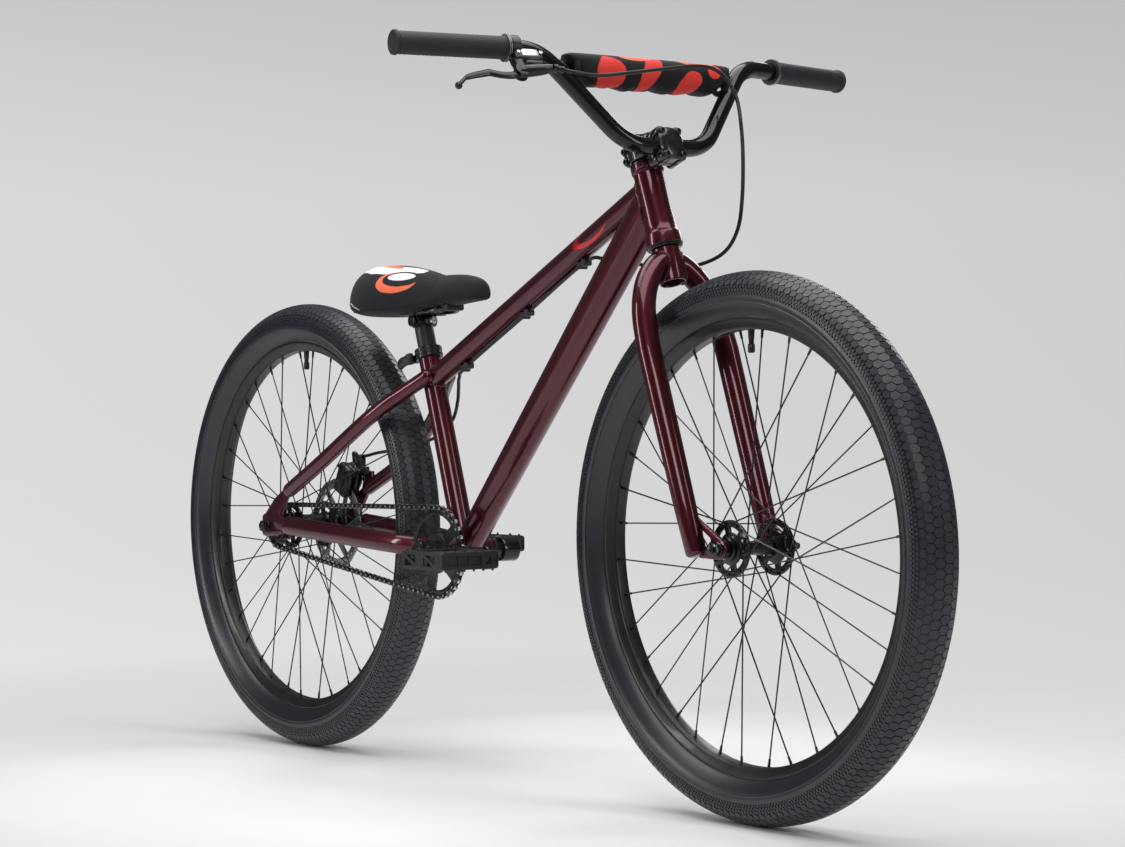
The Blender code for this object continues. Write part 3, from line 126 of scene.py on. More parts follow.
def noise(tree, scale, detail=2.0):
    place = add(tree, "TexCoord")
    return add(tree, "TexNoise", {"Vector": (place, "Object"), "Scale": scale, "Detail": detail}), "Fac"


def mottle(tree, scale, low, high):
    """Uneven roughness, as handling and polishing leave it."""
    spread = add(tree, "MapRange", {"Value": noise(tree, scale, 3.0), "From Min": 0.35, "From Max": 0.65,
                                    "To Min": low, "To Max": high})
    return {"Roughness": (spread, "Result")}


def ramp(tree, source, stops):
    """Colours along a value; the first two stops are the ends."""
    made = add(tree, "ValToRGB", {"Fac": source})
    elements = made.color_ramp.elements
    for i, (position, colour) in enumerate(stops):
        element = elements[i] if i < 2 else elements.new(position)
        element.position = position
        element.color = (*colour, 1)
    return made, "Color"


def shade(tree, scale, darker, lighter, detail=4.0):
    """Slight colour differences over the surface."""
    return {"Base Color": ramp(tree, noise(tree, scale, detail), ((0.35, darker), (0.65, lighter)))}


def grain(tree, scale, strength, distance):
    """Fine raised texture of moulded or cast surfaces."""
    relief = add(tree, "Bump", {"Height": noise(tree, scale), "Strength": strength, "Distance": distance})
    return {"Normal": (relief, "Normal")}


def printed(tree, *shapes):
    """Wavy-edged coloured shapes over the colour: centre, turn, half sizes, colour, waviness."""
    place = add(tree, "TexCoord")
    waves = noise(tree, 45)
    below = tuple(tree.nodes["Principled BSDF"].inputs["Base Color"].default_value)
    for centre, turn, half, colour, waviness in shapes:
        local = add(tree, "Mapping", {"Vector": (place, "Object"), "Location": centre, "Rotation": turn,
                                      "Scale": half}, vector_type="TEXTURE")
        reach = add(tree, "VectorMath", {0: (local, "Vector")}, operation="LENGTH")
        bent = add(tree, "Math", {0: waves, 1: waviness * 2, 2: (reach, "Value")}, operation="MULTIPLY_ADD")
        mask = add(tree, "MapRange", {"Value": (bent, "Value"), "From Min": 0.98 + waviness,
                                      "From Max": 1.02 + waviness, "To Min": 1, "To Max": 0})
        layer = add(tree, "Mix", data_type="RGBA")
        feed(tree, layer, {0: (mask, "Result"), 6: below, 7: (*colour, 1)})
        below = (layer, 2)
    return {"Base Color": below}


def finish(name, slot, colour, roughness, metallic=0.0, coat=0.0, sheen=0.0, specular=0.5, **textures):
    """A shader with its plain values on its own sockets, and the named textures over them."""
    material = bpy.data.materials.new(name)
    material.use_nodes = True
    tree = material.node_tree
    shader = tree.nodes["Principled BSDF"]
    feed(tree, shader, {
        "Base Color": (*colour, 1), "Roughness": roughness, "Metallic": metallic, "Coat Weight": coat,
        "Coat Roughness": 0.06, "Sheen Weight": sheen, "Sheen Roughness": 0.4,
        "Specular IOR Level": specular,
    })
    makers = {"shades": shade, "mottles": mottle, "grains": grain, "prints": printed}
    for key, values in textures.items():
        feed(tree, shader, makers[key](tree, *values))
    return material


BURGUNDY = (0.07, 0.0025, 0.011)
COVER_BLACK = (0.0135, 0.0135, 0.017)
ORANGE = (0.88, 0.17, 0.085)
WHITE = (0.84, 0.82, 0.79)
RED = (0.8, 0.052, 0.04)
DARK_RED = (0.62, 0.012, 0.022)

PAINT = finish("burgundy_lacquer", "burgundy_paint", BURGUNDY, 0.34, 0.75, 0.75,
               shades=(1500, (0.052, 0.0018, 0.008), (0.092, 0.0034, 0.015), 1.0),
               grains=(1800, 0.04, 0.0001))
MARKED_PAINT = finish("top_tube_lacquer", "burgundy_paint", BURGUNDY, 0.34, 0.75, 0.75,
                      grains=(1800, 0.04, 0.0001), prints=(
    ((0.22, -0.019, 0.744), (0, -0.44, 0), (0.04, 0.02, 0.013), DARK_RED, 0.06),
    ((0.226, -0.019, 0.748), (0, -0.44, 0), (0.035, 0.022, 0.01), BURGUNDY, 0.06),
))
GLOSS_BLACK = finish("black_lacquer", "gloss_black", (0.0045, 0.0045, 0.005), 0.26, 0.0, 0.7,
                     specular=0.12, mottles=(60, 0.22, 0.32))
ANODISED = finish("anodised_black", "satin_black", (0.007, 0.007, 0.008), 0.34, 0.2, 0.2,
                  mottles=(90, 0.28, 0.4))
RIM_BLACK = finish("rim_black", "gloss_black", (0.0105, 0.0092, 0.0098), 0.34, 0.15, 0.15,
                   mottles=(40, 0.3, 0.42))
TREAD = finish("tyre_tread", "tyre_rubber", (0.022, 0.026, 0.032), 0.38,
               shades=(60, (0.017, 0.0205, 0.026), (0.0275, 0.0325, 0.04)), grains=(1600, 0.15, 0.0002))
SIDEWALL = finish("tyre_sidewall", "tyre_rubber", (0.0072, 0.0092, 0.0135), 0.35, specular=0.68,
                  shades=(30, (0.0062, 0.0082, 0.0125), (0.0086, 0.0112, 0.0165)),
                  grains=(1500, 0.08, 0.0002))
# Lighter rubber on the mould line: a painted highlight along the raised ridge
MOULD_LINE_HIGHLIGHT_RUBBER = finish("mould_line_painted_highlight", "tyre_rubber", (0.05, 0.056, 0.064), 0.4,
                     mottles=(60, 0.34, 0.48))
COVER_CLOTH = finish("cover_cloth", "black_fabric", COVER_BLACK, 0.8, sheen=0.1, specular=0.25,
                     grains=(1300, 0.3, 0.0003), prints=(
    ((-0.275, -0.03, 0.724), (0.3, 0, -0.25), (0.042, 0.019, 0.03), WHITE, 0.12),
    ((-0.223, -0.026, 0.717), (0.5, 0, 0.35), (0.052, 0.015, 0.03), WHITE, 0.15),
    ((-0.256, -0.02, 0.727), (0.3, 0, -0.1), (0.036, 0.008, 0.03), ORANGE, 0.15),
    ((-0.206, -0.043, 0.7), (0.8, 0, 0.45), (0.035, 0.019, 0.03), ORANGE, 0.08),
    ((-0.2, -0.037, 0.704), (0.8, 0, 0.45), (0.032, 0.015, 0.03), COVER_BLACK, 0.08),
    ((-0.202, -0.035, 0.706), (0.8, 0, 0.45), (0.023, 0.008, 0.03), WHITE, 0.12),
))
PAD_CLOTH = finish("pad_cloth", "black_fabric", (0.009, 0.009, 0.0105), 0.66, sheen=0.06, specular=0.25,
                   grains=(1200, 0.25, 0.0003), prints=(
    ((0.3458, -0.072, 0.935), (0.35, 0, 0), (0.06, 0.023, 0.024), RED, 0.2),
    ((0.3458, -0.005, 0.946), (-0.5, 0, 0), (0.06, 0.013, 0.034), RED, 0.16),
    ((0.3458, 0.056, 0.931), (0.7, 0, 0), (0.06, 0.023, 0.014), RED, 0.2),
    ((0.3458, 0.098, 0.95), (0.2, 0, 0), (0.06, 0.011, 0.009), RED, 0.2),
    ((0.333, -0.025, 0.964), (0, 0, 0.1), (0.017, 0.03, 0.009), ORANGE, 0.2),
    ((0.333, 0.075, 0.964), (0, 0, -0.1), (0.017, 0.033, 0.009), ORANGE, 0.2),
))
RUBBER = finish("grip_rubber", "rubber", (0.0165, 0.019, 0.0235), 0.54, specular=0.4,
                grains=(1100, 0.5, 0.0004))
CABLE_SKIN = finish("cable_skin", "rubber", (0.007, 0.0075, 0.0085), 0.34, mottles=(80, 0.28, 0.42))
POST_BLACK = finish("post_black", "satin_black", (0.018, 0.018, 0.0195), 0.46, mottles=(70, 0.42, 0.52))
STEM_BLACK = finish("stem_black", "satin_black", (0.005, 0.005, 0.006), 0.28, 0.0, 0.45,
                    mottles=(120, 0.22, 0.34))
PIPING = finish("grey_piping", "black_fabric", (0.42, 0.42, 0.44), 0.55, sheen=0.1,
                grains=(1500, 0.3, 0.0002))
HUB_BLACK = finish("hub_black", "gloss_black", (0.003, 0.003, 0.0036), 0.3, 0.0, 0.25, specular=0.3,
                   mottles=(150, 0.24, 0.38))
PLASTIC = finish("moulded_plastic", "black_plastic", (0.012, 0.012, 0.0132), 0.5,
                 grains=(1500, 0.35, 0.0003), mottles=(120, 0.48, 0.62))
STEEL = finish("polished_steel", "bright_steel", (0.62, 0.62, 0.63), 0.28, 1.0, mottles=(150, 0.2, 0.38))
CHAIN_BLACK = finish("chain_black", "satin_black", (0.02, 0.02, 0.022), 0.3, 0.6, 0.3,
                     mottles=(300, 0.22, 0.42))
DARK_STEEL = finish("dark_steel", "bright_steel", (0.075, 0.075, 0.08), 0.24, 1.0,
                    mottles=(200, 0.18, 0.34))
DISC_STEEL = finish("disc_steel", "bright_steel", (0.3, 0.3, 0.31), 0.36, 1.0, mottles=(220, 0.3, 0.46))


# Making pieces

def to_mesh(builder):
    mesh = bpy.data.meshes.new("part")
    builder.to_mesh(mesh)
    builder.free()
    return mesh


def gathered(meshes):
    """One builder holding several meshes, which are removed."""
    builder = bmesh.new()
    for mesh in meshes:
        builder.from_mesh(mesh)
        bpy.data.meshes.remove(mesh)
    return builder


def moved(mesh, matrix):
    mesh.transform(matrix)
    if matrix.determinant() < 0:
        mesh.flip_normals()
    return mesh


def piece(name, parts, material, body, *nodes, crease=38, place=None):
    """A finished piece at the origin, riding on a body if one is named, and standing for its nodes."""
    mesh = to_mesh(gathered(parts)) if isinstance(parts, list) else parts
    if place:
        moved(mesh, place)
    mesh.materials.clear()
    mesh.materials.append(material)
    mesh.shade_smooth()
    mesh.set_sharp_from_angle(angle=math.radians(crease))
    mesh.name = name
    thing = bpy.data.objects.new(name, mesh)
    bpy.context.scene.collection.objects.link(thing)
    if body:
        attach(thing, body)
    if nodes:
        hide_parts(*nodes)
    return thing


def bevelled(builder, edges, offset, segments=2):
    bmesh.ops.bevel(builder, geom=edges, offset=offset, segments=segments, profile=0.5, affect="EDGES",
                    material=-1, offset_type="OFFSET")


def spun(builder, geometry, steps, **settings):
    """Spin geometry round Z."""
    bmesh.ops.spin(builder, geom=geometry, cent=(0, 0, 0), axis=(0, 0, 1), dvec=(0, 0, 0), steps=steps,
                   **settings)


def turned(profile, steps=72, matrix=None):
    """Spin a closed profile of (radius, height) round Z, down its outer side and up the inner one."""
    builder = bmesh.new()
    corners = [builder.verts.new((radius, 0, height)) for radius, height in profile]
    lines = [builder.edges.new(pair) for pair in zip(corners, corners[1:] + corners[:1])]
    spun(builder, corners + lines, steps, angle=2 * math.pi, use_merge=True)
    bmesh.ops.remove_doubles(builder, verts=builder.verts, dist=0.000001)
    bmesh.ops.recalc_face_normals(builder, faces=builder.faces)
    mesh = to_mesh(builder)
    return moved(mesh, matrix) if matrix else mesh


def aim(direction):
    """The turn that points Z in a direction."""
    return direction.to_track_quat("Z", "Y").to_matrix().to_4x4()


def rod(start, end, radius, sides=24, end_radius=None, edge=0.0, turn=0.0):
    """A round bar or cone, its two rims broken by a small bevel."""
    start = Vector(start)
    end = Vector(end)
    builder = bmesh.new()
    length = (end - start).length
    bmesh.ops.create_cone(builder, cap_ends=True, segments=sides, depth=length, radius1=radius,
                          radius2=radius if end_radius is None else end_radius)
    if edge:
        bevelled(builder, [e for e in builder.edges
                           if abs(e.verts[0].co.z - e.verts[1].co.z) < length * 0.01], edge)
    matrix = at((start + end) / 2) @ aim(end - start) @ Matrix.Rotation(turn, 4, "Z")
    bmesh.ops.transform(builder, matrix=matrix, verts=builder.verts)
    return to_mesh(builder)


def pin(start, along, *sizes, **settings):
    """A rod from a start, along a vector."""
    return rod(start, start + Vector(along), *sizes, **settings)


def cube(size):
    builder = bmesh.new()
    bmesh.ops.create_cube(builder, size=1)
    bmesh.ops.scale(builder, vec=Vector(size), verts=builder.verts)
    return builder


def block(size, matrix, edge=0.001, segments=2):
    """A block with all its edges rounded, placed by a matrix or by its middle."""
    builder = cube(size)
    bevelled(builder, list(builder.edges), edge, segments)
    place = matrix if isinstance(matrix, Matrix) else at(matrix)
    bmesh.ops.transform(builder, matrix=place, verts=builder.verts)
    return to_mesh(builder)


def new_curve(dimensions, depth, resolution):
    curve = bpy.data.curves.new("curve", "CURVE")
    curve.dimensions = dimensions
    curve.bevel_depth = depth
    curve.bevel_resolution = resolution
    return curve


def add_line(curve, points, closed):
    """One straight-sided spline through places of x, y, z and radius."""
    spline = curve.splines.new("POLY")
    spline.points.add(len(points) - 1)
    spline.use_cyclic_u = closed
    for place, (x, y, z, radius) in zip(spline.points, points):
        place.co = (x, y, z, 1)
        place.radius = radius


def from_curve(curve):
    """The welded mesh of a curve."""
    carrier = bpy.data.objects.new("carrier", curve)
    bpy.context.scene.collection.objects.link(carrier)
    bpy.context.view_layer.update()
    evaluated = carrier.evaluated_get(bpy.context.evaluated_depsgraph_get())
    mesh = bpy.data.meshes.new_from_object(evaluated)
    bpy.data.objects.remove(carrier, do_unlink=True)
    bpy.data.curves.remove(curve)
    builder = gathered([mesh])
    bmesh.ops.remove_doubles(builder, verts=builder.verts, dist=0.000001)
    return to_mesh(builder)


def pipe(points, radii, sides=16, matrix=None, flatten=1.0, ring=False):
    """A round bar along points; flatten below 1 narrows it along Y."""
    if not isinstance(radii, (list, tuple)):
        radii = [radii] * len(points)
    curve = new_curve("3D", 1.0, (sides - 4) // 2)
    curve.use_fill_caps = not ring
    add_line(curve, [(p[0], p[1] / flatten, p[2], radius) for p, radius in zip(points, radii)], ring)
    mesh = from_curve(curve)
    mesh.transform(Matrix.Diagonal((1, flatten, 1, 1)))
    return moved(mesh, matrix) if matrix else mesh


def plate(outline, thickness, matrix, holes=(), edge=0.0003):
    """A flat piece from an outline and holes in the XY plane, its rims slightly rounded."""
    curve = new_curve("2D", edge, 1)
    curve.fill_mode = "BOTH"
    curve.extrude = thickness / 2 - edge
    curve.offset = -edge
    for loop in [outline, *holes]:
        add_line(curve, [(x, y, 0, 1) for x, y in loop], True)
    return moved(from_curve(curve), matrix)


def on_circle(radius, degrees, centre=(0, 0)):
    a = math.radians(degrees)
    return (centre[0] + radius * math.cos(a), centre[1] + radius * math.sin(a))


def arc(centre, radius, start, end, count):
    return [on_circle(radius, start + (end - start) * i / count, centre) for i in range(count + 1)]


def circle(centre, radius, count):
    return arc(centre, radius, 0, 360, count)[:-1]


def both_sides(half, middle=()):
    """A profile, what is in its middle, and its mirror image, in one run."""
    return [*half, *middle, *((radius, -y) for radius, y in half[::-1])]


def smooth_path(points, per_span):
    """A Catmull-Rom curve through points, sampled evenly in each span."""
    points = [Vector(p) for p in points]
    ends = [2 * points[0] - points[1], *points, 2 * points[-1] - points[-2]]
    path = []
    for before, start, end, after in zip(ends, ends[1:], ends[2:], ends[3:]):
        for i in range(per_span):
            t = i / per_span
            path.append(0.5 * (
                2 * start + (end - before) * t
                + (2 * before - 5 * start + 4 * end - after) * t * t
                + (3 * start - before - 3 * end + after) * t ** 3
            ))
    path.append(points[-1])
    return path


def smooth_values(values, per_span):
    return [v.x for v in smooth_path([(value, 0, 0) for value in values], per_span)]


def rounded_path(points, radii, steps):
    """Straight runs between points, joined by arcs of the given radii."""
    path = [points[0]]
    for before, corner, after, radius in zip(points, points[1:], points[2:], radii):
        towards_start = (before - corner).normalized()
        towards_end = (after - corner).normalized()
        half_angle = towards_start.angle(towards_end) / 2
        reach = radius / math.tan(half_angle)
        middle = (towards_start + towards_end).normalized()
        centre = corner + middle * radius / math.sin(half_angle)
        first = corner + towards_start * reach - centre
        last = corner + towards_end * reach - centre
        sweep = first.angle(last)
        for i in range(steps + 1):
            t = i / steps
            blend = first * math.sin((1 - t) * sweep) + last * math.sin(t * sweep)
            path.append(centre + blend / math.sin(sweep))
    path.append(points[-1])
    return path


def other_side(point):
    return Vector((point[0], -point[1], point[2]))


def hex_bolt(start, direction, radius, height):
    """A round bolt head with a hexagon socket."""
    socket = radius * 0.5
    profile = [
        (radius * 0.8, height), (radius, height * 0.75), (radius, 0), (0.0001, 0),
        (0.0001, height * 0.4), (socket, height * 0.45), (socket, height),
    ]
    return turned(profile, 24, at(start) @ aim(Vector(direction)))


# Wheels

# Rows of tread scales from the crown outwards: arc length, width, length and number in each pitch
SCALE_ROWS = [
    (0.0, 0.016, 0.0113, 1), (0.0122, 0.0148, 0.0113, 1), (0.023, 0.0124, 0.0111, 1),
    (0.0318, 0.0096, 0.0107, 1), (0.039, 0.0062, 0.0052, 2), (0.0437, 0.005, 0.0049, 2),
    (0.0475, 0.004, 0.0045, 2),
]
SCALES_ROUND = 182
SCALE_HEIGHT = 0.0012
CASING_ARC = 0.0318


def on_casing(arc_length, around, inset=0.0):
    """A place on the tyre by its arc length from the crown and its distance round the wheel."""
    section, height, half_width = TYRE_SECTION
    a = arc_length / CASING_ARC
    turn = around / TYRE_RADIUS
    radius = section + (height - inset) * math.cos(a)
    return Vector((radius * math.cos(turn), radius * math.sin(turn), (half_width - inset) * math.sin(a)))


def tread_scale(width, length, corners, middle, around):
    """One raised flat scale, wider than long, laid on the casing."""
    builder = bmesh.new()
    bmesh.ops.create_circle(builder, cap_ends=True, segments=corners, radius=1)
    for vertex in builder.verts:
        a = math.atan2(vertex.co.y, vertex.co.x)
        hexagon = 1 / max(abs(math.cos(a)) + 0.5 * abs(math.sin(a)), abs(math.sin(a)) * 1.02)
        reach = 0.12 + 0.88 * hexagon
        vertex.co = (reach * math.cos(a) * width / 2, reach * math.sin(a) * length / 2, 0)
    bmesh.ops.recalc_face_normals(builder, faces=builder.faces)
    top = bmesh.ops.extrude_discrete_faces(builder, faces=list(builder.faces))["faces"]
    bmesh.ops.translate(builder, vec=(0, 0, SCALE_HEIGHT), verts=list(top[0].verts))
    bmesh.ops.scale(builder, vec=(0.95, 0.95, 1), verts=list(top[0].verts))
    for vertex in builder.verts:
        across, along, up = vertex.co
        vertex.co = on_casing(middle + across, around + along, SCALE_HEIGHT - up)
    return to_mesh(builder)


def tread_scales():
    """One pitch of the scaly tread, repeated round the wheel."""
    pitch = 2 * math.pi * TYRE_RADIUS / SCALES_ROUND
    scales = []
    for row, (middle, width, length, number) in enumerate(SCALE_ROWS):
        for side in (-1, 1) if row else (1,):
            for k in range(number):
                shift = pitch * (row % 2 / 2 + k) / number
                scales.append(tread_scale(width, length, 12 if number == 1 else 6, side * middle, shift))
    builder = gathered(scales)
    copies = SCALES_ROUND - 1
    spun(builder, [*builder.verts, *builder.edges, *builder.faces], copies,
         angle=2 * math.pi * copies / SCALES_ROUND, use_duplicate=True)
    bmesh.ops.recalc_face_normals(builder, faces=builder.faces)
    return to_mesh(builder)


def tyre(name, hub, body):
    """Casing with raised scales over the crown, a mould line with a painted highlight and plain lower
    sidewalls.
    """
    place = at(hub) @ ALONG_Y
    piece(name + "_tread", tread_scales(), TREAD, body, crease=50, place=place)

    def point(arc_length, inset):
        spot = on_casing(arc_length, 0, inset)
        return (spot.x, spot.z)

    ground = SCALE_HEIGHT - 0.0001
    outer = [point(s, ground) for s in (0.006, 0.012, 0.018, 0.024, 0.03, 0.036, 0.042, 0.0485)]
    outer += [point(s, i) for s, i in (
        (0.0505, 0.0006), (0.0525, 0.0), (0.0555, 0.0), (0.0576, 0.0), (0.058, -0.0008),
        (0.0588, -0.0008), (0.0592, 0.0003), (0.063, 0.0004), (0.067, 0.0006), (0.07, 0.001),
    )]
    outer += [(0.2868, 0.0222), (0.2838, 0.0182), (0.2824, 0.0164), (0.282, 0.0156), (0.2816, 0.014)]
    inner = [(0.284, 0.0105), (0.296, 0.0215), (0.3095, 0.027), (0.326, 0.018)]
    profile = [point(0, ground), *both_sides(outer, both_sides(inner, [(0.331, 0.0)]))]
    # The mould line rings carry the painted highlight in their lighter rubber
    line = circle(point(0.0584, -0.0007), 0.0005, 6)
    rings = [turned([(radius, side * y) for radius, y in line], 180) for side in (-1, 1)]
    piece(name + "_mould_lines", rings, MOULD_LINE_HIGHLIGHT_RUBBER, body, crease=70, place=place)
    piece(name + "_casing", turned(profile, 180), SIDEWALL, body, name, crease=30, place=place)


def rim(name, hub, body):
    """A deep rim with rounded shoulders and its bed."""
    half = [
        (0.2814, 0.0128), (0.2819, 0.0136), (0.2821, 0.0148), (0.2817, 0.0156), (0.2808, 0.0158),
        (0.278, 0.0148), (0.2722, 0.0118), (0.2695, 0.01), (0.2682, 0.0082), (0.2678, 0.0055),
    ]
    bed = [(0.2805, -0.012), (0.277, -0.011), (0.276, 0), (0.277, 0.011), (0.2805, 0.012)]
    shell = turned(both_sides(half) + bed, 168, at(hub) @ ALONG_Y)
    piece(name, shell, RIM_BLACK, body, name, crease=35)


def valve(name, hub, body, node_name):
    """The inner tube with its stem, rubber foot, thread and cap."""
    profile = [
        (0.0001, 0.03), (0.003, 0.03), (0.0042, 0.029), (0.0044, 0.0282), (0.0044, 0.0196),
        (0.004, 0.019), (0.0033, 0.0186), (0.0033, 0.014), (0.0038, 0.012), (0.004, 0.006),
        (0.0046, 0.0), (0.0001, 0.0),
    ]
    stem = turned(profile, 20, at((0, 0, 0.2691)) @ Euler((math.pi, 0, 0)).to_matrix().to_4x4())
    hose = [(TYRE_SECTION.x + 0.015 * x, 0.017 * y) for x, y in arc((0, 0), 1, 180, -120, 5)]
    piece(name, [stem, turned(hose, 40, ALONG_Y)], CABLE_SKIN, body, node_name, place=at(hub))


def spoke_set(name, hub, side, flange_y, phase, body, node_name):
    """Eighteen spokes with elbows and heads, three-cross, and their nipples."""
    spokes = []
    nipples = []
    for i in range(18):
        rim_angle = math.radians(phase + 20 * i)
        outside = 1 if i % 2 else -1
        flange = radial(rim_angle + outside * math.radians(60)) * SPOKE_CIRCLE + aside(side * flange_y)
        rim_end = radial(rim_angle) * 0.2672 + aside(side * 0.002)
        across = aside(side * outside)
        run = (rim_end - flange).normalized()
        path = [
            flange - across * 0.0032, flange - across * 0.0026, flange + across * 0.0012,
            flange + across * 0.0021 + run * 0.001, flange + across * 0.0022 + run * 0.004, rim_end,
        ]
        spokes.append(pipe(path, [0.0019] + [0.001] * 5, 6))
        tip = rim_end - (rim_end - path[4]).normalized() * 0.0095
        nipples.append(rod(tip, rim_end + (rim_end - tip) * 0.25, 0.0016, 8, 0.0019))
    piece(name, spokes + nipples, ANODISED, body, node_name, crease=50, place=at(hub))


def hub_flange(y):
    """A flange disc with kidney windows and spoke holes."""
    windows = [
        arc((0, 0), 0.0268, 60 * i - 8, 60 * i + 32, 8) + arc((0, 0), 0.0202, 60 * i + 29, 60 * i - 5, 4)
        for i in range(6)
    ]
    holes = [circle(on_circle(SPOKE_CIRCLE, 20 * i + 5), 0.0012, 8) for i in range(18)]
    return plate(circle((0, 0), 0.0355, 72), 0.0032, at((0, y, 0)) @ UPRIGHT, windows + holes, 0.0005)


def hub_shell(name, hub, profile, flange_y):
    shell = [turned(profile, 64, ALONG_Y), hub_flange(flange_y), hub_flange(-flange_y)]
    piece(name + "_hub_shell", shell, HUB_BLACK, name + "_wheel", name + "_hub", place=at(hub))


FRONT_FLANGE = 0.0356
REAR_FLANGE = 0.03


def front_hub():
    half = [
        (0.01, 0.0497), (0.0118, 0.049), (0.0118, 0.0462), (0.01, 0.0452), (0.01, 0.0442),
        (0.014, 0.0436), (0.0158, 0.0424), (0.016, 0.0408), (0.015, 0.0402), (0.015, 0.0392),
        (0.018, 0.0382), (0.0196, 0.037), (0.0196, 0.0342), (0.015, 0.033), (0.011, 0.03),
        (0.0092, 0.018),
    ]
    bore = [(0.0048, -0.0497), (0.0048, 0.0497)]
    hub_shell("front", FRONT_HUB, both_sides(half, [(0.0086, 0.0)]) + bore, FRONT_FLANGE)
    seals = [turned([(0.0098, high), (0.0098, low), (0.0066, low), (0.0066, high)], 48, ALONG_Y)
             for high, low in ((0.0497, 0.0482), (-0.0482, -0.0497))]
    place = at(FRONT_HUB) @ Matrix.Diagonal((1, 1.012, 1, 1))
    piece("front_hub_seals", seals, STEEL, "front_wheel", place=place)


def rear_hub():
    profile = [
        (0.01, 0.0672), (0.0112, 0.0664), (0.0112, 0.057), (0.0165, 0.0556), (0.017, 0.0548),
        (0.017, 0.0536), (0.024, 0.0532), (0.0243, 0.0507), (0.024, 0.048), (0.0225, 0.0462),
        (0.0165, 0.043), (0.0165, 0.0345), (0.0196, 0.0325), (0.0196, 0.028), (0.0165, 0.0262),
        (0.0158, 0.0), (0.0165, -0.0262), (0.0196, -0.028), (0.0196, -0.0325), (0.0165, -0.0345),
        (0.0165, -0.056), (0.015, -0.0575), (0.0112, -0.058), (0.0112, -0.0664), (0.01, -0.0672),
        (0.0053, -0.0672), (0.0053, 0.0672),
    ]
    hub_shell("rear", REAR_HUB, profile, REAR_FLANGE)


def disc_rotor():
    """Stamped disc: drilled braking band on swept arms, held by six bolts."""
    windows = [
        arc((0, 0), 0.0545, 60 * i + 5, 60 * i + 53, 8) + arc((0, 0), 0.0285, 60 * i + 30, 60 * i - 6, 5)
        for i in range(6)
    ]
    drilled = [circle(on_circle((0.059, 0.0625, 0.066)[i % 3], 10 * i + 3), 0.0019, 8) for i in range(36)]
    edge = [on_circle(0.0694 + 0.0006 * math.cos(math.radians(30 * i)), 2.5 * i) for i in range(144)]
    disc = plate(edge, 0.0018, at(REAR_HUB + aside(0.052)) @ UPRIGHT,
                 [circle((0, 0), 0.0175, 36), *windows, *drilled], 0.0002)
    piece("disc_rotor", disc, DISC_STEEL, "rear_wheel", "brake_rotor")
    places = [radial(math.radians(60 * i + 15)) * 0.022 + aside(0.0529) for i in range(6)]
    bolts = [hex_bolt(place, ACROSS, 0.0036, 0.0022) for place in places]
    piece("rotor_bolts", bolts, ANODISED, "rear_wheel", place=at(REAR_HUB))


def axle_set(name, hub, radius, reach, nut_inner, body, node_name):
    """Threaded axle with washers and domed nuts."""
    ridge = [(radius + 0.0003, 0.0005), (radius + 0.0003, -0.0005), (radius - 0.001, 0)]
    meshes = []
    for side in (-1, 1):
        inner = aside(side * nut_inner)
        meshes.append(rod(inner, aside(side * reach), radius, 20, edge=0.0006))
        for y in [nut_inner + 0.0098 + 0.0015 * k for k in range(4)]:
            if y < reach - 0.001:
                meshes.append(turned(ridge, 20, at(aside(side * y)) @ ALONG_Y))
        nut = aside(side * (nut_inner + 0.0018))
        meshes.append(rod(inner, nut, 0.0098, 32, edge=0.0003))
        meshes.append(pin(nut, aside(side * 0.0072), 0.0088, 6, edge=0.0006, turn=0.3))
    meshes.append(rod(aside(-nut_inner), aside(nut_inner), radius, 20))
    piece(name, meshes, DARK_STEEL, body, node_name, place=at(hub))


def wheels():
    for name, hub, flange_y in (("front", FRONT_HUB, FRONT_FLANGE), ("rear", REAR_HUB, REAR_FLANGE)):
        body = name + "_wheel"
        tyre(name + "_tyre", hub, body)
        rim(name + "_rim", hub, body)
        valve(name + "_valve", hub, body, name + "_inner_tube")
        for label, side in SIDES:
            phase = 10 + 5 * side
            spoke_set(f"{name}_{label}_spokes", hub, side, flange_y, phase, body, f"{name}_spokes_{label}")
    front_hub()
    rear_hub()
    disc_rotor()
    axle_set("front_axle_set", FRONT_HUB, 0.0045, 0.073, 0.0566, "steering", "front_axle")
    axle_set("rear_axle_set", REAR_HUB, 0.005, 0.084, 0.0739, "frame", "rear_axle")


# Frame

TUBE_RADIUS = 0.0159
ROUND_SIZE = (TUBE_RADIUS, TUBE_RADIUS)
TOP_TUBE_REAR = Vector((-0.1742, 0, 0.5571))
TOP_TUBE_FRONT = Vector((0.3336, 0, 0.7963))
TOP_TUBE_RUN = TOP_TUBE_FRONT - TOP_TUBE_REAR
DOWN_TUBE_REAR = Vector((-0.0925, 0, 0.3206))
DOWN_TUBE_FRONT = Vector((0.3392, 0, 0.7812))
DOWN_TUBE_REAR_SIZE = (0.0195, 0.0205)
DOWN_TUBE_FRONT_SIZE = (0.029, 0.019)
SHELL_RADIUS = 0.02
SHELL_HALF_WIDTH = 0.0365
HEAD_TOP = 0.0525
HEAD_BOTTOM = -0.0595
HEAD_AXIS = STEER_TURN.to_3x3() @ UP
CHAINSTAY = [
    (-0.096, 0.0215, 0.3145), (-0.16, 0.032, 0.3195), (-0.207, 0.049, 0.3236),
    (-0.28, 0.059, 0.3292), (-0.38, 0.0645, 0.336), (-0.478, 0.069, 0.3425),
]
SEATSTAY = [
    (-0.164, 0.018, 0.562), (-0.2073, 0.0355, 0.5369), (-0.242, 0.051, 0.515),
    (-0.283, 0.062, 0.4885), (-0.3722, 0.0725, 0.4365), (-0.469, 0.07, 0.3935),
]


def on_seat_line(distance, back=0.0, side=0.0):
    """A place by its distance up the seat tube from the bracket, and behind and beside it."""
    return BRACKET + SEAT_UP * distance + SEAT_BACK * back + aside(side)


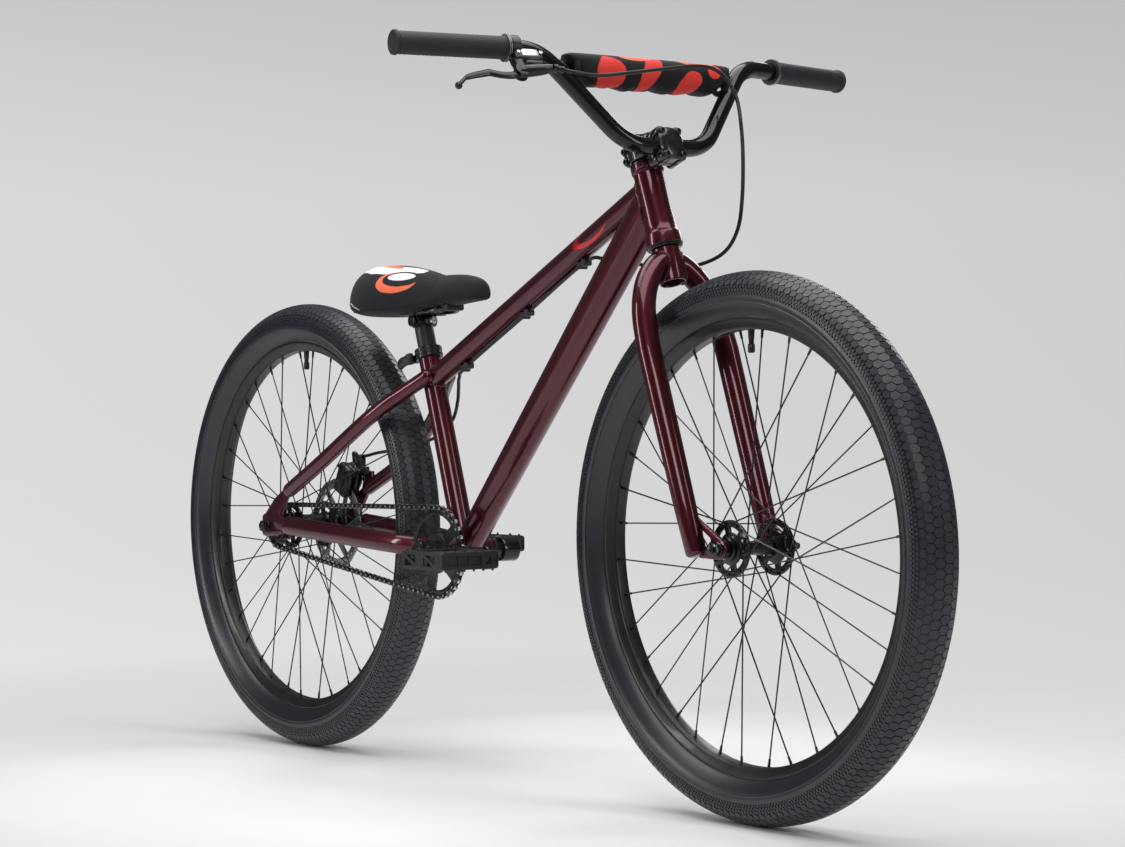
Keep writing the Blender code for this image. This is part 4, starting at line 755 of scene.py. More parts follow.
def oval_tube(start, end, start_size, end_size):
    """A straight tube in the middle plane whose depth and width change evenly along it."""
    length = (end - start).length
    along = (end - start).normalized()
    builder = bmesh.new()
    bmesh.ops.create_cone(builder, cap_ends=True, segments=72, depth=length, radius1=1, radius2=1)
    for vertex in builder.verts:
        t = vertex.co.z / length + 0.5
        vertex.co.x *= start_size[0] + (end_size[0] - start_size[0]) * t
        vertex.co.y *= start_size[1] + (end_size[1] - start_size[1]) * t
    bmesh.ops.translate(builder, vec=(0, 0, length / 2), verts=builder.verts)
    return moved(to_mesh(builder), at(start) @ axes(ACROSS.cross(along), ACROSS, along))


def meeting_line(start, along, deep, wide, wall_point, wall_axis, wall_radius, count):
    """The line in which the skin of a tube, with these half sizes, meets a round wall."""
    slope = along - wall_axis * along.dot(wall_axis)
    points = []
    for i in range(count):
        a = 2 * math.pi * i / count
        skin = start + deep * math.cos(a) + wide * math.sin(a)
        away = skin - wall_point
        away -= wall_axis * away.dot(wall_axis)
        half = slope.dot(away)
        root = half * half - slope.length_squared * (away.length_squared - wall_radius ** 2)
        points.append(skin + along * (-half - math.sqrt(max(root, 0))) / slope.length_squared)
    return points


def weld_bead(line, radius=0.0021, drops=44):
    """A row of overlapping drops along a closed line, softened by paint."""
    count = len(line)
    radii = [radius * (1 + 0.1 * math.cos(2 * math.pi * drops * i / count)) for i in range(count)]
    return pipe(line, radii, 10, ring=True)


def tube_weld(start, end, size, *wall):
    """The bead where a tube from start towards end meets a wall: its point, axis and radius."""
    along = (end - start).normalized()
    deep = ACROSS.cross(along).normalized()
    return weld_bead(meeting_line(start, along, deep * size[0], along.cross(deep) * size[1], *wall, 132))


def frame_tubes():
    for name, paint, *run in (
        ("top_tube", MARKED_PAINT, TOP_TUBE_REAR, TOP_TUBE_FRONT, ROUND_SIZE, ROUND_SIZE),
        ("down_tube", PAINT, DOWN_TUBE_REAR, DOWN_TUBE_FRONT, DOWN_TUBE_REAR_SIZE, DOWN_TUBE_FRONT_SIZE),
        ("seat_tube", PAINT, BRACKET, on_seat_line(0.3), ROUND_SIZE, ROUND_SIZE),
    ):
        piece(name + "_shell", oval_tube(*run), paint, "frame", name)
    head = [
        (0.0206, HEAD_TOP), (0.0212, HEAD_TOP - 0.0006), (0.0212, 0.047), (0.0209, 0.0464),
        (0.0209, 0.0458), (0.0212, 0.0452), (0.0212, 0.044), (0.0206, 0.0424), (0.0196, 0.0405),
        (0.0193, 0.039), (0.0193, -0.008), (0.0198, -0.02), (0.0205, -0.032),
        (0.0213, -0.04), (0.0224, -0.0424), (0.0234, -0.0438), (0.0238, -0.045), (0.0238, -0.0588),
        (0.0232, HEAD_BOTTOM), (0.0165, HEAD_BOTTOM), (0.0165, HEAD_TOP),
    ]
    piece("head_tube_shell", turned(head, 72, STEERING), PAINT, "frame", "head_tube", crease=24)
    shell = [
        *both_sides([(0.0192, SHELL_HALF_WIDTH), (SHELL_RADIUS, SHELL_HALF_WIDTH - 0.0008)]),
        (0.0172, -SHELL_HALF_WIDTH), (0.0172, SHELL_HALF_WIDTH),
    ]
    piece("bracket_shell", turned(shell, 64, at(BRACKET) @ ALONG_Y), PAINT, "frame",
          "bottom_bracket_shell", crease=24)


def frame_welds():
    bracket = (BRACKET, ACROSS, SHELL_RADIUS)
    beads = [
        tube_weld(TOP_TUBE_REAR, TOP_TUBE_FRONT, ROUND_SIZE, STEER_POINT, HEAD_AXIS, 0.0194),
        tube_weld(TOP_TUBE_FRONT, TOP_TUBE_REAR, ROUND_SIZE, BRACKET, SEAT_UP, TUBE_RADIUS),
        tube_weld(DOWN_TUBE_REAR, DOWN_TUBE_FRONT, DOWN_TUBE_FRONT_SIZE, STEER_POINT, HEAD_AXIS, 0.0205),
        tube_weld(DOWN_TUBE_FRONT, DOWN_TUBE_REAR, DOWN_TUBE_REAR_SIZE, *bracket),
        tube_weld(on_seat_line(0.2), BRACKET, ROUND_SIZE, *bracket),
    ]
    for side in (-1, 1):
        start, end = (Vector((x, side * y, z)) for x, y, z in (CHAINSTAY[1], CHAINSTAY[0]))
        beads.append(tube_weld(start, end, (0.0145, 0.0107), *bracket))
    piece("frame_welds", beads, PAINT, "frame")


def stays():
    """Chainstays narrow towards the dropouts; seatstays have closed, rounded upper ends."""
    for name, side in SIDES:
        for label, route, radius, flatten in (("chainstay", CHAINSTAY, 0.0145, 0.74),
                                              ("seatstay", SEATSTAY, 0.0108, 1.0)):
            path = smooth_path([(x, side * y, z) for x, y, z in route], 10)
            last = path.pop()
            towards = (last - path[-1]).normalized()
            path += [last - towards * 0.006, last - towards * 0.002, last]
            spread = [1.0] * (len(path) - 2) + [0.9, 0.66]
            if label == "seatstay":
                outward = (path[0] - path[1]).normalized()
                path = [path[0] + outward * reach for reach in (0.01, 0.0075, 0.0035)] + path
                spread = [0.45, 0.78, 0.96, *spread]
            tube = pipe(path, [radius * s for s in spread], 32, flatten=flatten)
            piece(f"{label}_tube_{name}", tube, PAINT, "frame", f"{label}_{name}")


def dropouts():
    """Plates with a short rearward slot; the left one carries the brake tab."""
    slot = 0.0053
    tabs = {
        "right": [(0.062, 0.061)],
        "left": [(0.078, 0.069), (0.076, 0.082), (0.056, 0.082), (0.051, 0.062)],
    }
    holes = {"right": [], "left": [circle((0.066, 0.0755), 0.0028, 16)]}
    for name, side in SIDES:
        outline = [
            (-0.013, slot), *arc((0.004, 0), slot, 90, -90, 12), (-0.013, -slot),
            *arc((-0.0085, -0.01), 0.0045, 190, 250, 4), (-0.002, -0.0158), (0.03, -0.013),
            (0.062, -0.007), (0.062, 0.011), (0.045, 0.0126),
            *arc((0.0455, 0.018), 0.0055, 262, 160, 5), (0.065, 0.05), *tabs[name],
            (0.05, 0.056), (0.025, 0.043), (0.003, 0.0245), *arc((-0.006, 0.0115), 0.007, 80, 170, 4),
        ]
        place = at(REAR_HUB + aside(side * 0.0706)) @ UPRIGHT
        flat = plate(outline, 0.006, place, holes[name], 0.0006)
        piece("rear_dropout_" + name, flat, PAINT, "frame", "dropout_" + name)


def headset():
    """Cups in the head tube and in the bracket shell."""
    upper = [
        (0.0166, 0.058), (0.0178, 0.0576), (0.02, 0.0556), (0.0205, 0.055), (0.0205, 0.0534),
        (0.0209, 0.0532), (0.0209, 0.0527), (0.0186, 0.0527), (0.0186, 0.0445), (0.0146, 0.0445),
        (0.0146, 0.058),
    ]
    lower = [
        (0.0202, -0.0515), (0.0202, -0.0598), (0.023, -0.0598), (0.0233, -0.0604), (0.023, -0.0612),
        (0.0212, -0.0614), (0.0212, -0.062), (0.0205, -0.0632), (0.0158, -0.0632), (0.0146, -0.0515),
    ]
    for name, profile in (("upper", upper), ("lower", lower)):
        piece(f"headset_{name}_cup", turned(profile, 72, STEERING), ANODISED, "frame",
              f"headset_{name}_bearing", crease=24)
    half = [(0.0188, 0.043), (0.0195, 0.0424), (0.0195, 0.0368), (0.0168, 0.0368)]
    meshes = [turned(both_sides(half) + [(0.013, -0.043), (0.013, 0.043)], 64)]
    for side in (-1, 1):
        for i in range(16):
            place = Matrix.Rotation(2 * math.pi * i / 16, 4, "Z") @ at((0.0193, 0, side * 0.04))
            meshes.append(block((0.0022, 0.003, 0.0052), place, 0.0004, 1))
    piece("bracket_cups", meshes, ANODISED, "frame", "bottom_bracket_bearings", crease=24,
          place=at(BRACKET) @ ALONG_Y)


def seat_clamp():
    """Slotted collar with its skewer, cam lever and nut."""
    inner = TUBE_RADIUS + 0.0003
    middle = 0.2955
    profile = [
        (0.0193, 0.303), (0.02, 0.3023), (0.02, 0.298), (0.0194, 0.2972), (0.0194, 0.2938),
        (0.02, 0.293), (0.02, 0.2887), (0.0193, 0.288), (inner, 0.288), (inner, 0.3018),
        (0.014, 0.3022), (0.014, 0.303),
    ]
    ears = [block((0.01, 0.0085, 0.012), at(on_seat_line(middle, 0.023, side * 0.0063)) @ SEAT_LEAN,
                  0.0018, 3) for side in (-1, 1)]
    rear = on_seat_line(middle, 0.024)
    skewer = rod(rear + aside(0.0205), rear - aside(0.012), 0.0026, 20)
    nut = rod(rear + aside(0.011), rear + aside(0.0185), 0.0056, edge=0.0009)
    ring = turned(profile, 72, at(BRACKET) @ SEAT_LEAN)
    piece("seat_collar", [ring, *ears, skewer, nut], ANODISED, "frame", "seat_clamp", crease=24)
    barrel = rod((0, 0, -0.0075), (0, 0, 0.0075), 0.0058, 32, edge=0.001)
    path = smooth_path([(0, -0.0005, 0), (-0.012, -0.003, 0), (-0.022, -0.002, 0),
                        (-0.028, 0.0015, 0), (-0.03, 0.0034, 0)], 6)
    blade = pipe(path, smooth_values([0.007, 0.0078, 0.0082, 0.007, 0.004], 6), 24, flatten=0.42)
    piece("clamp_lever_blade", [barrel, blade], POST_BLACK, "seat_clamp_lever", "seat_clamp_lever",
          crease=24, place=at(rear - aside(0.0175)) @ SEAT_LEAN)


# Brake cable and its guides

def under_top_tube(x, drop=0.0193):
    """A place below the top tube's middle line, at a distance square to it."""
    axis = TOP_TUBE_RUN.normalized()
    t = (x - TOP_TUBE_REAR.x) / axis.x
    return TOP_TUBE_REAR + axis * t + Vector((axis.z, 0, -axis.x)) * drop


GUIDE_X = (0.18, 0.049, -0.098)
CABLE_ROUTE = [
    (0.364, -0.159, 0.9325), (0.369, -0.1445, 0.93), (0.371, -0.1056, 0.929),
    (0.369, -0.0259, 0.941), (0.365, 0.05, 0.952), (0.364, 0.09, 0.947),
    (0.378, 0.105, 0.917), (0.3945, 0.1, 0.8766), (0.4037, 0.095, 0.8307),
    (0.407, 0.09, 0.7788), (0.402, 0.086, 0.74), (0.384, 0.078, 0.712),
    (0.352, 0.062, 0.6975), (0.305, 0.045, 0.6935), (0.255, 0.033, 0.704),
    (0.215, 0.014, 0.7115), *(tuple(under_top_tube(x)) for x in GUIDE_X),
    (-0.118, 0.006, 0.56), (-0.135, 0.016, 0.544), (-0.15, 0.024, 0.524),
    (-0.175, 0.033, 0.501), (-0.22, 0.043, 0.48), (-0.28, 0.049, 0.4655),
    (-0.35, 0.055, 0.4562), (-0.425, 0.0643, 0.4505), (-0.46, 0.0684, 0.4462),
    (-0.475, 0.0694, 0.4448),
]
WIRE_END = (-0.4965, 0.0697, 0.4432)


def cable():
    """Housing along its whole route, between the lever and the brake."""
    housing = piece("cable_housing", pipe(smooth_path(CABLE_ROUTE, 8), 0.0025), CABLE_SKIN,
                    None, "brake_cable")
    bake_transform(housing)
    piece("cable_inner_wire", pipe([CABLE_ROUTE[-1], WIRE_END], 0.0008, 8), STEEL, "frame")
    turn = lean(-math.atan2(TOP_TUBE_RUN.z, TOP_TUBE_RUN.x))
    for name, x in zip(("front", "middle", "rear"), GUIDE_X):
        straps = [block((0.0046, 0.0142, 0.0098), (shift, 0, -0.0002), 0.0014) for shift in (-0.005, 0.005)]
        piece("cable_clip_" + name, [block((0.02, 0.013, 0.008), (0, 0, 0), 0.0024, 3), *straps],
              PLASTIC, "frame", "cable_guide_" + name, crease=24,
              place=at(under_top_tube(x, TUBE_RADIUS + 0.0043)) @ turn)


# Steering, in the head tube's own frame unless said otherwise

def fork():
    """Unicrown fork: crown tube with a rolled lip, two bent legs and two windowed dropouts."""
    crown = [
        (0.0143, 0.087), (0.0143, -0.06), (0.017, -0.0636), (0.0185, -0.065), (0.018, -0.096),
        (0.0172, -0.107), (0.0172, -0.1086), (0.0166, -0.1096), (0.0156, -0.1096), (0.015, -0.1086),
        (0.0148, -0.105), (0.0148, -0.08), (0.0118, -0.076), (0.0118, 0.087),
    ]
    leg = [(0.006, -0.079), (0.023, -0.088), (0.041, -0.108), (0.0535, -0.134), (0.06, -0.162),
           (0.063, -0.2)]
    foot = Vector((0, 0.0615, -0.465))
    path = smooth_path([(0, y, z) for y, z in leg], 8)
    run = (foot - path[-1]).normalized()
    path += [path[-1].lerp(foot, t) for t in (0.25, 0.5, 0.75)]
    path += [foot + run * reach for reach in (0, 0.0022, 0.004, 0.0052)]
    radii = [0.0153] * (len(path) - 7) + [0.015, 0.0146, 0.014, 0.0126, 0.0118, 0.0098, 0.0064]
    hub = STEERING.inverted() @ FRONT_HUB
    middle = (hub.x, hub.z)
    outline = [
        (-0.006, -0.419), (0.009, -0.422), (0.018, -0.433), *arc(middle, 0.013, 45, -100, 18),
        (0.01, -0.476), (0.0, -0.4725), (-0.007, -0.465),
    ]
    window = [
        (0.0125, -0.4385), (0.0262, -0.4545), (0.0262, -0.46), (0.0228, -0.469), (0.021, -0.4705),
        (0.01, -0.4705), (0.0085, -0.468), (0.0085, -0.445), (0.0095, -0.44),
    ]
    meshes = [turned(crown, 64)]
    for side in (-1, 1):
        start, end = (Vector((0, side * y, z)) for y, z in (leg[2], leg[0]))
        meshes += [
            pipe([(x, side * y, z) for x, y, z in path], radii, 36),
            plate(outline, 0.006, at(aside(side * 0.0533)) @ UPRIGHT,
                  [window, circle(middle, 0.0048, 24)], 0.0006),
            tube_weld(start, end, (0.0153, 0.0153), Vector(), UP, 0.0186),
        ]
    piece("fork_blades", meshes, PAINT, "steering", "fork", crease=30, place=STEERING)


BAR_CLAMP_HEIGHT = 0.0591


def stem():
    """Cast body with round screw bosses, its faceplate, pinch screws and the steerer cap."""
    corners = [Vector((0, y, BAR_CLAMP_HEIGHT + up)) for y in (-0.0132, 0.0132) for up in (-0.0162, 0.0162)]
    rib_lean = Matrix.Rotation(math.radians(28), 4, "Y")
    collar = [
        (0.015, 0.088), (0.0196, 0.088), (0.0203, 0.0873), (0.0203, 0.0592), (0.0196, 0.0585),
        (0.015, 0.0585),
    ]
    meshes = [
        turned(collar, 72),
        block((0.036, 0.036, 0.028), (0.0165, 0, 0.0725), 0.007, 4),
        block((0.03, 0.042, 0.018), (0.019, 0, 0.0655), 0.006, 4),
        block((0.017, 0.038, 0.0425), (0.0354, 0, BAR_CLAMP_HEIGHT), 0.008, 5),
        block((0.02, 0.024, 0.008), (0.025, 0, 0.056), 0.003, 3),
    ]
    for y in (-0.0205, -0.013, 0.013, 0.0205):
        meshes.append(block((0.024, 0.0028, 0.016), at((0.024, y, 0.076)) @ rib_lean, 0.0012))
    for corner in corners:
        meshes.append(rod(corner + AHEAD * 0.0285, corner + AHEAD * 0.0438, 0.007, 28, edge=0.0012))
    for y in (-0.0078, 0.0078):
        meshes.append(block((0.013, 0.0105, 0.029), (-0.02, y, 0.0735), 0.004, 3))
    for z in (0.066, 0.08):
        meshes.append(rod((-0.0205, -0.014, z), (-0.0205, 0.014, z), 0.0062, 20, edge=0.001))
        meshes.append(hex_bolt((-0.0205, -0.0142, z), -ACROSS, 0.0042, 0.003))
    piece("stem_body", meshes, STEM_BLACK, "steering", "stem", crease=28, place=STEERING)

    builder = cube((0.013, 0.0385, 0.044))
    bevelled(builder, [e for e in builder.edges if abs(e.verts[0].co.x - e.verts[1].co.x) > 0.001],
             0.017, 8)
    face = max(builder.faces, key=lambda f: f.calc_center_median().x)
    for thickness, depth in ((0.0014, 0.0016), (0.0026, 0.0014), (0.004, 0.001), (0.005, 0.0004)):
        bmesh.ops.inset_region(builder, faces=[face], thickness=thickness, depth=depth)
    bmesh.ops.translate(builder, vec=(0.051, 0, BAR_CLAMP_HEIGHT), verts=builder.verts)
    meshes = [to_mesh(builder)]
    for corner in corners:
        meshes += [
            rod(corner + AHEAD * 0.0446, corner + AHEAD * 0.0576, 0.007, 28, edge=0.0016),
            rod(corner + AHEAD * 0.0574, corner + AHEAD * 0.0594, 0.0052, edge=0.0006),
            hex_bolt(corner + AHEAD * 0.0592, AHEAD, 0.004, 0.0032),
        ]
    piece("faceplate_body", meshes, STEM_BLACK, "steering", "stem_faceplate", crease=28, place=STEERING)
    cap = [
        (0.0001, 0.0915), (0.006, 0.0915), (0.0062, 0.0908), (0.015, 0.0912), (0.017, 0.0904),
        (0.0175, 0.0894), (0.0175, 0.0883), (0.0001, 0.0883),
    ]
    piece("steerer_cap", [turned(cap, 64), hex_bolt((0, 0, 0.0898), UP, 0.005, 0.003)], GLOSS_BLACK,
          "steering", "headset_top_cap", crease=24, place=STEERING)


# The left half of the handlebar, in the bicycle's frame
BAR_FOOT = Vector((0.3636, 0.0624, 0.8453))
BAR_TOP = Vector((0.3169, 0.165, 0.9629))
BAR_END = Vector((0.2892, 0.3642, 0.9608))
BAR_RADIUS = 0.0111
CROSSBAR_END = BAR_FOOT.lerp(BAR_TOP, 0.81)


def handlebar():
    """Bent tube with a welded crossbar."""
    half = [BAR_TOP.lerp(BAR_END, 0.987), BAR_TOP, BAR_FOOT]
    corners = half + [other_side(p) for p in half[::-1]]
    right = other_side(CROSSBAR_END)
    middle = (right + CROSSBAR_END) / 2
    meshes = [
        pipe(rounded_path(corners, [0.064, 0.063, 0.063, 0.064], 14), BAR_RADIUS, 40),
        rod(right, CROSSBAR_END, 0.008, 32),
    ]
    for side in (-1, 1):
        foot, top = (p if side > 0 else other_side(p) for p in (BAR_FOOT, BAR_TOP))
        along = ACROSS * side
        line = meeting_line(middle, along, UP * 0.008, UP.cross(along) * 0.008, foot,
                            (top - foot).normalized(), BAR_RADIUS, 104)
        meshes.append(weld_bead(line, 0.0016, 26))
    piece("bent_bar", meshes, GLOSS_BLACK, "steering", "handlebar")


def on_grip_run(side, y):
    point = BAR_TOP.lerp(BAR_END, (y - BAR_TOP.y) / (BAR_END.y - BAR_TOP.y))
    return point if side > 0 else other_side(point)


def grips():
    """Soft sleeves with a thin clamp flange at the inner end and a thicker closed end."""
    ribs = 44
    first_rib = 0.0085
    bore = BAR_RADIUS + 0.0003
    for name, side, inner_y in (("right", -1, 0.209), ("left", 1, 0.224)):
        inner = on_grip_run(side, inner_y)
        run = on_grip_run(side, BAR_END.y) - inner
        length = run.length
        last_rib = length - 0.0145
        profile = [(radius, length - inset) for radius, inset in (
            (0.0001, 0.0006), (0.0086, 0.0006), (0.0092, 0.0014), (0.01, 0.0004), (0.014, 0),
            (0.0155, 0.001), (0.0158, 0.0026), (0.0158, 0.0044), (0.015, 0.0054), (0.0142, 0.006),
            (0.0141, 0.009), (0.0146, 0.01),
        )]
        profile += [(0.0146 if i % 2 else 0.0142, last_rib - (last_rib - first_rib) * i / ribs)
                    for i in range(ribs)]
        profile += [
            (0.0146, 0.008), (0.0148, 0.005), (0.0168, 0.0038), (0.0172, 0.0032), (0.0172, 0.0006),
            (0.0167, 0.0), (bore, 0.0), (bore, length - 0.004), (0.0001, length - 0.004),
        ]
        place = at(inner) @ aim(run)
        piece("grip_sleeve_" + name, turned(profile, 56, place), RUBBER, "steering", "grip_" + name,
              crease=50)
        rings = [turned([(0.0166, z), (0.0177, z + 0.0003), (0.0177, z + 0.0012), (0.0166, z + 0.0015)], 48,
                        place) for z in (0.0002, 0.0024)]
        piece("grip_ring_" + name, rings, DISC_STEEL, "steering", crease=30)


# Brake lever on the right

LEVER_PIVOT = Vector((0.337, -0.205, 0.93))
BALL_END = Vector((0.335, -0.298, 0.9075))


def brake_lever():
    """Clamp band, body with its cable adjuster, and the two-finger blade with a ball end."""
    outboard = other_side(BAR_END - BAR_TOP).normalized()
    bar_point = on_grip_run(-1, 0.2012)
    ahead = LEVER_PIVOT - bar_point
    ahead -= outboard * ahead.dot(outboard)
    ahead.normalize()
    axis = outboard.cross(ahead).normalized()
    facing = axes(ahead, axis, ahead.cross(axis))

    def spot(forward, inboard, up=0.0):
        """A place by its distances from the bar's middle line."""
        return bar_point + ahead * forward - outboard * inboard + axis * up

    band = [
        (0.0158, 0.0062), (0.0163, 0.0056), (0.0163, -0.0056), (0.0158, -0.0062), (0.0115, -0.0062),
        (0.0115, 0.0062),
    ]
    cable_start = Vector(CABLE_ROUTE[0])
    leaving = (Vector(CABLE_ROUTE[1]) - cable_start).normalized()
    barrel_start = cable_start - leaving * 0.0146
    housing = smooth_path([LEVER_PIVOT + Vector((0.002, 0.004, 0.001)),
                           LEVER_PIVOT + Vector((0.013, 0.023, 0.003)), barrel_start], 8)
    barrel = [
        (0.0046, 0.0), (0.0052, 0.0006), (0.0052, 0.0046), (0.0046, 0.0052), (0.0036, 0.0054),
        (0.0036, 0.009), (0.0042, 0.0094), (0.0042, 0.0136), (0.0036, 0.014), (0.0001, 0.014),
        (0.0001, 0.0),
    ]
    piece("lever_body", [
        turned(band, 56, at(bar_point) @ aim(outboard)),
        pipe([spot(0.012, 0), LEVER_PIVOT + ahead * 0.004], [0.0075, 0.0092], 28),
        block((0.017, 0.02, 0.04), at(spot(0.019, 0.013)) @ facing, 0.005, 4),
        block((0.012, 0.015, 0.028), at(spot(0.028, 0.02)) @ facing, 0.0045, 4),
        pipe(housing, smooth_values([0.0082, 0.0068, 0.0046], 8), 28),
        turned(barrel, 32, at(barrel_start) @ aim(leaving)),
        *(pin(LEVER_PIVOT + axis * side * 0.0046, axis * side * 0.002, 0.01, 32, edge=0.0005)
          for side in (-1, 1)),
        hex_bolt(LEVER_PIVOT + axis * 0.0066, axis, 0.004, 0.0022),
        hex_bolt(spot(-0.0155, 0) + ahead.cross(outboard) * 0.0035, -ahead, 0.0036, 0.0026),
    ], ANODISED, "steering", "lever_perch", crease=30)
    piece("lever_cover_plate", [
        block((0.011, 0.0014, 0.023), at(spot(0.0165, 0.015, 0.01)) @ facing, 0.0006),
        *(hex_bolt(spot(0.0165, inboard, 0.01), axis, 0.0026, 0.0018) for inboard in (-0.001, 0.03)),
    ], STEEL, "steering", crease=30)
    line = [
        (0, 0.001, 0), (0.014, 0.0066, 0), (0.03, 0.007, 0), (0.0425, 0.0036, -0.0008),
        (0.046, 0.0028, -0.001), (0.05, 0.0036, -0.0012), (0.0663, 0.0074, -0.002),
        (0.077, 0.0104, -0.0028), (0.0815, 0.013, -0.0032), (0.0926, 0.0236, -0.0047),
    ]
    widths = [0.0034, 0.0034, 0.0032, 0.0033, 0.0034, 0.0033, 0.003, 0.0026, 0.0018, 0.0024]
    place = at(LEVER_PIVOT) @ axes(outboard, ahead, outboard.cross(ahead))
    builder = bmesh.new()
    bmesh.ops.create_uvsphere(builder, u_segments=24, v_segments=16, radius=0.0047, matrix=at(BALL_END))
    piece("lever_blade", [
        pin(LEVER_PIVOT - axis * 0.0042, axis * 0.0084, 0.0084, 32, edge=0.0008),
        pipe(smooth_path(line, 6), smooth_values(widths, 6), 20, place, 1.62),
        to_mesh(builder),
    ], ANODISED, "brake_lever", "brake_lever", crease=30)


# Disc brake

def caliper():
    """Two cast halves bolted over the rotor, with bracket, cable stop, arm and pad."""
    middle = Vector((0.035, 0, 0.0686))
    tilt = lean(math.atan2(middle.x, middle.z))
    place = at(middle + aside(0.0525)) @ tilt
    meshes = [
        block((0.033, 0.0118, 0.048), place @ at((0, 0.0086, 0)), 0.004, 3),
        block((0.033, 0.0118, 0.048), place @ at((0, -0.0086, 0)), 0.004, 3),
        block((0.03, 0.008, 0.012), place @ at((0, 0, 0.017)), 0.002),
        rod(place @ Vector((0, 0.01, -0.001)), place @ Vector((0, 0.017, -0.001)), 0.0135, 40,
            edge=0.0015),
        rod(place @ Vector((0, -0.014, -0.001)), place @ Vector((0, -0.0162, -0.001)), 0.0105, 40,
            edge=0.001),
        block((0.06, 0.006, 0.012), at((0.046, 0.0635, 0.0765)) @ lean(math.radians(-14)), 0.002, 3),
        block((0.009, 0.014, 0.023), (0.0486, 0.0665, 0.096), 0.0022, 3),
    ]
    for x in (-0.011, 0.011):
        meshes.append(hex_bolt(place @ Vector((x, -0.0145, 0.0185)), -ACROSS, 0.0036, 0.003))
    for x, z in ((0.07, 0.0702), (0.025, 0.0815)):
        meshes.append(hex_bolt((x, 0.0605, z), -ACROSS, 0.0042, 0.0032))
    piece("caliper_body", meshes, ANODISED, "frame", "brake_caliper", crease=24, place=at(REAR_HUB))

    outline = [*arc((0, 0), 0.009, 165, 375, 20), (-0.0055, 0.0347),
               *arc((-0.01, 0.0387), 0.005, 0, 180, 12)]
    piece("caliper_arm", [
        plate(outline, 0.0042, UPRIGHT, [circle((-0.003, 0.02), 0.002, 16)], 0.0006),
        hex_bolt((0, 0.002, 0), ACROSS, 0.0052, 0.0036),
        hex_bolt((-0.01, 0.002, 0.0387), ACROSS, 0.0034, 0.003),
    ], DARK_STEEL, "brake_arm", "brake_arm", crease=24, place=at(REAR_HUB + middle + aside(0.0697)))
    pad_place = REAR_HUB + middle.normalized() * 0.06 + aside(0.0549)
    pad = block((0.018, 0.003, 0.017), at(pad_place) @ tilt, 0.0005)
    piece("brake_pad_plate", pad, DARK_STEEL, "moving_brake_pad", "moving_brake_pad")


# Drive

def pitch_radius(teeth):
    return PITCH / (2 * math.sin(math.pi / teeth))


def chain_rollers():
    """Roller centres in the XZ plane, a pitch apart round both sprockets and the taut runs."""
    big = pitch_radius(RING_TEETH)
    small = pitch_radius(COG_TEETH)
    span = REAR_HUB - BRACKET
    run = math.sqrt(span.length_squared - (big - small) ** 2)
    to_hub = math.atan2(span.z, span.x)
    lift = math.acos((big - small) / span.length)
    top = to_hub - lift
    bottom = to_hub + lift
    lengths = [run, small * 2 * lift, run, big * (2 * math.pi - 2 * lift)]

    def place(distance):
        """Point at a distance along the loop, from the ring's top contact."""
        distance %= sum(lengths)
        if distance < lengths[0]:
            return (BRACKET + radial(top) * big).lerp(REAR_HUB + radial(top) * small, distance / run)
        distance -= lengths[0]
        if distance < lengths[1]:
            return REAR_HUB + radial(top + distance / small) * small
        distance -= lengths[1]
        if distance < lengths[2]:
            return (REAR_HUB + radial(bottom) * small).lerp(BRACKET + radial(bottom) * big, distance / run)
        distance -= lengths[2]
        return BRACKET + radial(bottom + distance / big) * big

    rollers = [place(0)]
    distance = 0
    for _ in range(LINKS - 1):
        low = distance + PITCH * 0.9
        high = distance + PITCH * 1.1
        for _ in range(40):
            middle = (low + high) / 2
            if (place(middle) - rollers[-1]).length < PITCH:
                low = middle
            else:
                high = middle
        distance = low
        rollers.append(place(distance))
    return rollers


ROLLERS = chain_rollers()


def chain():
    """Inner and outer links in turn, with rollers and rivet heads."""
    half = PITCH / 2
    outline = [*arc((half, 0), 0.0041, 60, -60, 4), (0, -0.003), *arc((-half, 0), 0.0041, 240, 120, 4),
               (0, 0.003)]
    side_plate = plate(outline, 0.0009, Matrix.Identity(4), edge=0.0001)
    roller = rod((0, 0, -0.0021), (0, 0, 0.0021), 0.0037, 12)
    rivet = rod((0, 0, -0.0041), (0, 0, 0.0041), 0.0017, 8)
    links = []
    pins = []
    for i, here in enumerate(ROLLERS):
        following = ROLLERS[(i + 1) % LINKS]
        ahead = (following - here).normalized()
        turn = axes(ahead, ACROSS.cross(ahead), ACROSS)
        spread = 0.0034 if i % 2 else 0.0025
        for y in (CHAIN_Y - spread, CHAIN_Y + spread):
            links.append(moved(side_plate.copy(), at((here + following) / 2 + aside(y)) @ turn))
        for part in (roller, rivet):
            pins.append(moved(part.copy(), at(here + aside(CHAIN_Y)) @ ALONG_Y))
    for part in (side_plate, roller, rivet):
        bpy.data.meshes.remove(part)
    piece("chain_plates", links, CHAIN_BLACK, "frame", "chain", crease=30)
    piece("chain_rollers_and_rivets", pins, STEEL, "frame", crease=30)


def toothed_plate(teeth, first_angle, holes):
    """Roller seats with flanks rising to short blunt teeth, in order round the centre."""
    pitch = pitch_radius(teeth)
    step = 2 * math.pi / teeth
    outline = []
    for i in range(teeth):
        middle = first_angle + step * i
        seat = (pitch * math.cos(middle), pitch * math.sin(middle))
        for degrees in (118, 150, 180, 210, 242):
            outline.append(on_circle(0.004, math.degrees(middle) + degrees, seat))
        for shift in (-0.0011, 0.0011):
            outline.append(on_circle(pitch + 0.0022, math.degrees(middle + step / 2 + shift / pitch)))
    outline.sort(key=lambda p: math.atan2(p[1], p[0]))
    return plate(outline, 0.0022, UPRIGHT, holes, 0.0002)


